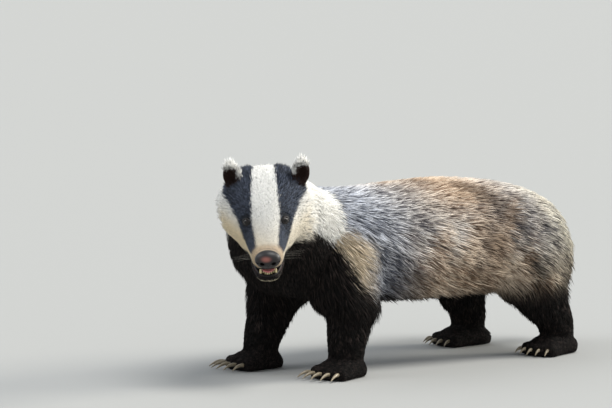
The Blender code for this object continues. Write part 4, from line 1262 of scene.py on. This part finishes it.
def is_bare(p, a):
    """True at points where no hair grows."""
    found = (p[:, 2] < BARE_SOLE) | (in_mouth(a, BARE_MOUTH) & (a["head"] > 0.5))
    for side in SIDES.values():
        eye = np.array(in_head(*mirrored(EYE_PLACE, side)))
        found |= np.linalg.norm(p - eye, axis=1) < BARE_EYE
    pad = np.linalg.norm((np.stack([a["s"], a["f"], a["u"]], 1) - BARE_NOSE) / np.array(NOSE_RADII), axis=1)
    return found | (pad < NOSE_MARGIN)


def sow():
    """Roots spread over the skin, closer where the hair is short and fine, and their places on its unwrap."""
    corner = skin_co[skin_faces]
    middle = corner.mean(1)
    area = np.linalg.norm(np.cross(corner[:, 1] - corner[:, 0], corner[:, 2] - corner[:, 0]), axis=1) / 2
    a = address(middle)
    length, width, _, cover, _ = combed(a)
    wanted = area * cover / (length * width * BLADE_SHARE)
    wanted[is_bare(middle, a)] = 0
    total = np.cumsum(wanted)
    count = int(total[-1])
    picked = np.searchsorted(total, (np.arange(count) + draw.random(count)) * total[-1] / count)
    picked = np.minimum(picked, len(skin_faces) - 1)
    r = np.sqrt(draw.random(count))
    q = draw.random(count)
    weights = np.stack([1 - r, r * (1 - q), r * q], 1)
    return (np.einsum("nk,nkc->nc", weights, corner[picked]),
            np.einsum("nk,nkc->nc", weights, skin_uv[picked]))


roots, root_uv = sow()
print(len(roots), "tufts")

# %% Growing the tufts
# where a tuft's rings are along it, and how far each leans to the leading tuft of its lock
STEPS, PULL = (0.0, 0.34, 0.68, 1.0), (0, 0.06, 0.16, 0.30)
ROOT_DEPTH, LEADERS, LOCK_NEAR, LOCK_FAR = 0.0012, 0.16, 0.004, 0.009


def onto_skin(points):
    """The nearest point of the skin and its outward direction, for each point."""
    found, normals = np.empty_like(points), np.empty_like(points)
    for k, p in enumerate(points.tolist()):
        found[k], normals[k], *_ = surface.find_nearest(p)
    return found, normals


def locks_of(points):
    """For each tuft, the number of the leading tuft of its lock."""
    leaders = np.flatnonzero(draw.random(len(points)) < LEADERS)
    tree = KDTree(len(leaders))
    for k, leader in enumerate(leaders):
        tree.insert(points[leader], k)
    tree.balance()
    return leaders[[tree.find(p)[1] for p in points.tolist()]]


def grow(roots):
    """Each tuft's rings from root to tip, as their middles and their outward and sideways directions.

    With them come the place on the skin two thirds along it, its width, and its own and its lock's numbers.
    """
    a = address(roots)
    length, width, lift, _, stand = combed(a)
    ruff, leader = ruff_of(a), locks_of(roots)
    own = draw.random((len(roots), 4))
    shared = own[leader]
    length = length * (0.78 + 0.34 * own[:, 0] + 0.12 * shared[:, 0])
    length *= 1 + stand * (own[:, 0] ** 3 - 0.28)
    length *= 1 + 0.5 * ruff * (shared[:, 1] - 0.35)
    rise = lift * (0.55 + 0.35 * own[:, 1] + 0.35 * shared[:, 1])
    stray = 0.45 * own[:, 1] ** 12 * ramp(length, 0.010, 0.018)
    stand = np.maximum(stand, stray)
    veer = 0.32 * (own[:, 2] - 0.5) + 0.28 * (shared[:, 2] - 0.5)
    place, normal = onto_skin(roots)
    straight = unit(lie(a) + normal * 0.4)
    centres, outs, sides, under = [], [], [], []
    for k, s in enumerate(STEPS):
        if k:
            place, normal = onto_skin(place + ahead * (length * (s - STEPS[k - 1]))[:, None])
            a = address(place)
        ahead = lie(a)
        ahead = unit(ahead - normal * (ahead * normal).sum(-1, keepdims=True))
        ahead = unit(ahead + np.cross(normal, ahead) * veer[:, None])
        height = (ROOT_DEPTH + rise) * s ** 0.75 - ROOT_DEPTH
        upright = roots + straight * (length * s)[:, None] - normal * ROOT_DEPTH
        centres.append(mix(place + normal * height[:, None], upright, stand))
        outs.append(normal)
        under.append(place)
        sides.append(np.cross(normal, ahead))
    centres = np.stack(centres, 1)
    reach = np.linalg.norm(roots[leader] - roots, axis=1)
    close = (1 - ramp(reach, LOCK_NEAR, LOCK_FAR)) * (ramp(length, 0.018, 0.036) + 1.5 * ruff)
    centres += (centres[leader] - centres) * np.array(PULL)[None, :, None] * close[:, None, None]
    return centres, np.stack(outs, 1), np.stack(sides, 1), under[2], width, own, shared


centres, outs, sides, covered, widths, own, shared = grow(roots)
lengths = np.linalg.norm(np.diff(centres, axis=1), axis=2).sum(1)
print("tufts are", round(lengths.min() * 1000, 1), "to", round(lengths.max() * 1000, 1), "mm long")

# %% [markdown]
# ### The tufts' colours
#
# A tuft takes the colour of the skin two thirds along it rather than at its root, so that the markings
# seen from outside lie where the tables put them. Only on the ears the root's own place is used. A little
# scatter of the place frays the edges. The hair itself is dull, with faint flecks over its colour.

# %% The tufts' colours
at_root = address(roots)
common = 0.26 * (1 - at_root["head"]) + 0.25 * at_root["leg"]
pale = common * shared[:, 3] + (1 - common) * own[:, 3]
pale = np.clip((pale - 0.5) * 1.4 + 0.5, 0, 1)
seen = np.where(at_root["ear"][:, None] > 0.3, roots, covered)
seen += draw.normal(size=seen.shape) * (0.0035 - 0.0025 * at_root["head"])[:, None]
tuft_colours = colours(address(seen), pale)
print("a tuft's middle is", [round(float(c), 3) for c in tuft_colours[1].mean(0)], "on average")

bristle = finish_of("bristly_guard_hair", Roughness=0.75, Specular_IOR_Level=0.18)
tree = bristle.node_tree
colour = add(tree, "ShaderNodeAttribute", attribute_name="Coat colour")
place = add(tree, "ShaderNodeTexCoord")
fleck = add(tree, "ShaderNodeTexNoise", [(place.outputs["Object"], "Vector")], i2=260, i3=2)
shade = add(tree, "ShaderNodeMapRange", [(fleck.outputs[0], 0)], i1=0.3, i2=0.7, i3=0.92, i4=1.06)
toned = add(tree, "ShaderNodeVectorMath", [(colour.outputs["Color"], 0), (shade.outputs[0], 1)],
            operation="MULTIPLY")
tree.links.new(toned.outputs[0], tree.nodes["Principled BSDF"].inputs["Base Color"])

# %% [markdown]
# ### From rings to meshes
#
# The blades of one region are joined in one mesh, straight from arrays: operators would take hours for two
# hundred thousand of them. Each coat piece stays under 200,000 triangles.

# %% Blades to meshes
PATCH, LOWEST = 0.003, 0.0005
RING_WIDTHS, RIDGE = (1.0, 0.85), 0.9


def blade_faces(rings):
    """The faces of one blade: a point at the root, rings of three points, and the tip."""
    tip, last = 3 * rings + 1, 3 * rings - 2
    quads = [(3 * k + 1 + j, 3 * k + 1 + (j + 1) % 3, 3 * k + 4 + (j + 1) % 3, 3 * k + 4 + j)
             for k in range(rings - 1) for j in range(3)]
    root_end = [(0, 1 + (j + 1) % 3, 1 + j) for j in range(3)]
    return quads + root_end + [(last + j, last + (j + 1) % 3, tip) for j in range(3)]


def mesh_of(name, points, faces):
    """One mesh of many blades with the same faces. Points come by blade."""
    n, count = points.shape[:2]
    corners = (np.arange(n)[:, None] * count + np.concatenate(faces)[None]).ravel()
    totals = np.tile([len(face) for face in faces], n)
    mesh = bpy.data.meshes.new(name)
    mesh.vertices.add(n * count)
    mesh.vertices.foreach_set("co", points.ravel())
    mesh.loops.add(len(corners))
    mesh.loops.foreach_set("vertex_index", corners)
    mesh.polygons.add(len(totals))
    mesh.polygons.foreach_set("loop_start", np.concatenate([[0], np.cumsum(totals)[:-1]]))
    mesh.polygons.foreach_set("use_smooth", np.ones(len(totals), bool))
    mesh.update(calc_edges=True)
    made = bpy.data.objects.new(name, mesh)
    bpy.context.scene.collection.objects.link(made)
    return made, corners


def build_coat(name, chosen, steps):
    """One mesh of the chosen tufts, with rings at these steps, their colours and their patches."""
    n, count = len(chosen), 3 * len(steps) + 2
    points, tint, uv = np.empty((n, count, 3)), np.empty((n, count, 3)), np.empty((n, count, 2))
    root, middle, tip = (c[chosen] for c in tuft_colours)
    points[:, 0], points[:, -1] = centres[chosen, 0], centres[chosen, -1]
    tint[:, 0], tint[:, -1] = root, tip
    uv[:, 0], uv[:, -1] = (root_uv[chosen] + PATCH * np.array([0, up]) for up in (-0.5, 0.5))
    for k, step in enumerate(steps):
        c, out, side = centres[chosen, step], outs[chosen, step], sides[chosen, step]
        w = widths[chosen, None] / 2 * RING_WIDTHS[k]
        ring = ((-0.5, c - side * w), (0.5, c + side * w), (0.0, c + out * w * RIDGE))
        for j, (across, corner) in enumerate(ring, 3 * k + 1):
            points[:, j] = corner
            tint[:, j] = mix(root, middle, 0.6) if step == 1 else middle
            uv[:, j] = root_uv[chosen] + PATCH * np.array([across, STEPS[step] - 0.5])
    points[:, :, 2] = np.maximum(points[:, :, 2], LOWEST)
    made, corners = mesh_of(name, points, blade_faces(len(steps)))
    layer = made.data.uv_layers.new(name="OFBake")
    layer.data.foreach_set("uv", uv.reshape(-1, 2)[corners].ravel())
    paint(made, "Coat colour", tint.reshape(-1, 3))
    made.data.materials.append(bristle)
    return made


# %% The coat's pieces
# the most triangles of a piece, the length in metres that parts long from short, and the fewest tufts
PIECE_LIMIT, LONG_TUFT, FEWEST = 195000, 0.024, 30
# the steps that get a ring, and a tuft's triangles
BUILDS = {"long": ((1, 2), 12), "short": ((2,), 6)}
REGIONS = {"head_coat": at_root["head"] > 0.5, "neck_coat": at_root["t"] > 20,
           "leg_coat": at_root["leg"] > 0.5, "tail_coat": at_root["tail"] > 0.3,
           "fore_coat": at_root["x"] < -0.03, "middle_coat": at_root["x"] < 0.11,
           "hind_coat": np.ones(len(roots), bool)}
of_length = {"long": lengths > LONG_TUFT, "short": lengths <= LONG_TUFT}
free = np.ones(len(roots), bool)
coats, triangles = 0, 0
for region, here in REGIONS.items():
    chosen = here & free
    free &= ~chosen
    for which, (steps, cost) in BUILDS.items():
        these = np.flatnonzero(chosen & of_length[which])
        if len(these) < FEWEST:
            continue
        parts = math.ceil(len(these) * cost / PIECE_LIMIT)
        for k, group in enumerate(np.array_split(these, parts)):
            made = build_coat(f"{region}_{which}_{k + 1}", group, steps)
            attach(made, "root")
            coats += 1
            triangles += len(group) * cost
print(coats, "coat pieces,", triangles, "triangles")

# %% [markdown]
# ## The floor and the light
#
# A plain pale floor and three soft suns: a large one high over the badger's left flank, as the open sky
# was, a weaker one that fills the shaded cheek, and a warm one behind the rump that draws a bright edge.
# Wide angles keep the shadows soft, as they are on an overcast day.

# %% The floor
FLOOR_WIDTH = 60
bpy.ops.mesh.primitive_plane_add(size=FLOOR_WIDTH)
floor = bpy.context.object
floor.name = "floor"
floor.data.materials.append(finish_of("matt_paper", Roughness=0.9, Base_Color=(*linear("999997"), 1)))
print("the floor is", FLOOR_WIDTH, "m wide")

# %% The lights
SKY_TINT, SKY_STRENGTH = (0.88, 0.94, 1.0, 1), 0.78
# the direction to each sun, its spread in degrees, its strength and its tint
SUNS = {"sky": (right * 0.6 + UP * 1.3 + to_camera * 0.35, 30, 2.6, (1.0, 0.99, 0.96)),
        "side": (-right * 0.8 + UP * 0.6 + to_camera * 0.15, 30, 0.9, (0.96, 0.98, 1.0)),
        "edge": (right * 1.4 + UP * 0.6 - to_camera * 0.5, 22, 3.0, (1.0, 0.96, 0.86))}
world = bpy.data.worlds.new("soft_sky")
world.use_nodes = True
world.node_tree.nodes["Background"].inputs["Color"].default_value = SKY_TINT
world.node_tree.nodes["Background"].inputs["Strength"].default_value = SKY_STRENGTH
bpy.context.scene.world = world
for name, (toward, spread, power, tint) in SUNS.items():
    turn = toward.to_track_quat("Z", "Y").to_euler()
    bpy.ops.object.light_add(type="SUN", location=toward * 3, rotation=turn)
    lamp = bpy.context.object
    lamp.name = name
    lamp.data.angle = math.radians(spread)
    lamp.data.energy = power
    lamp.data.color = tint
bpy.context.scene.view_settings.view_transform = "Standard"
print(len(SUNS), "suns")
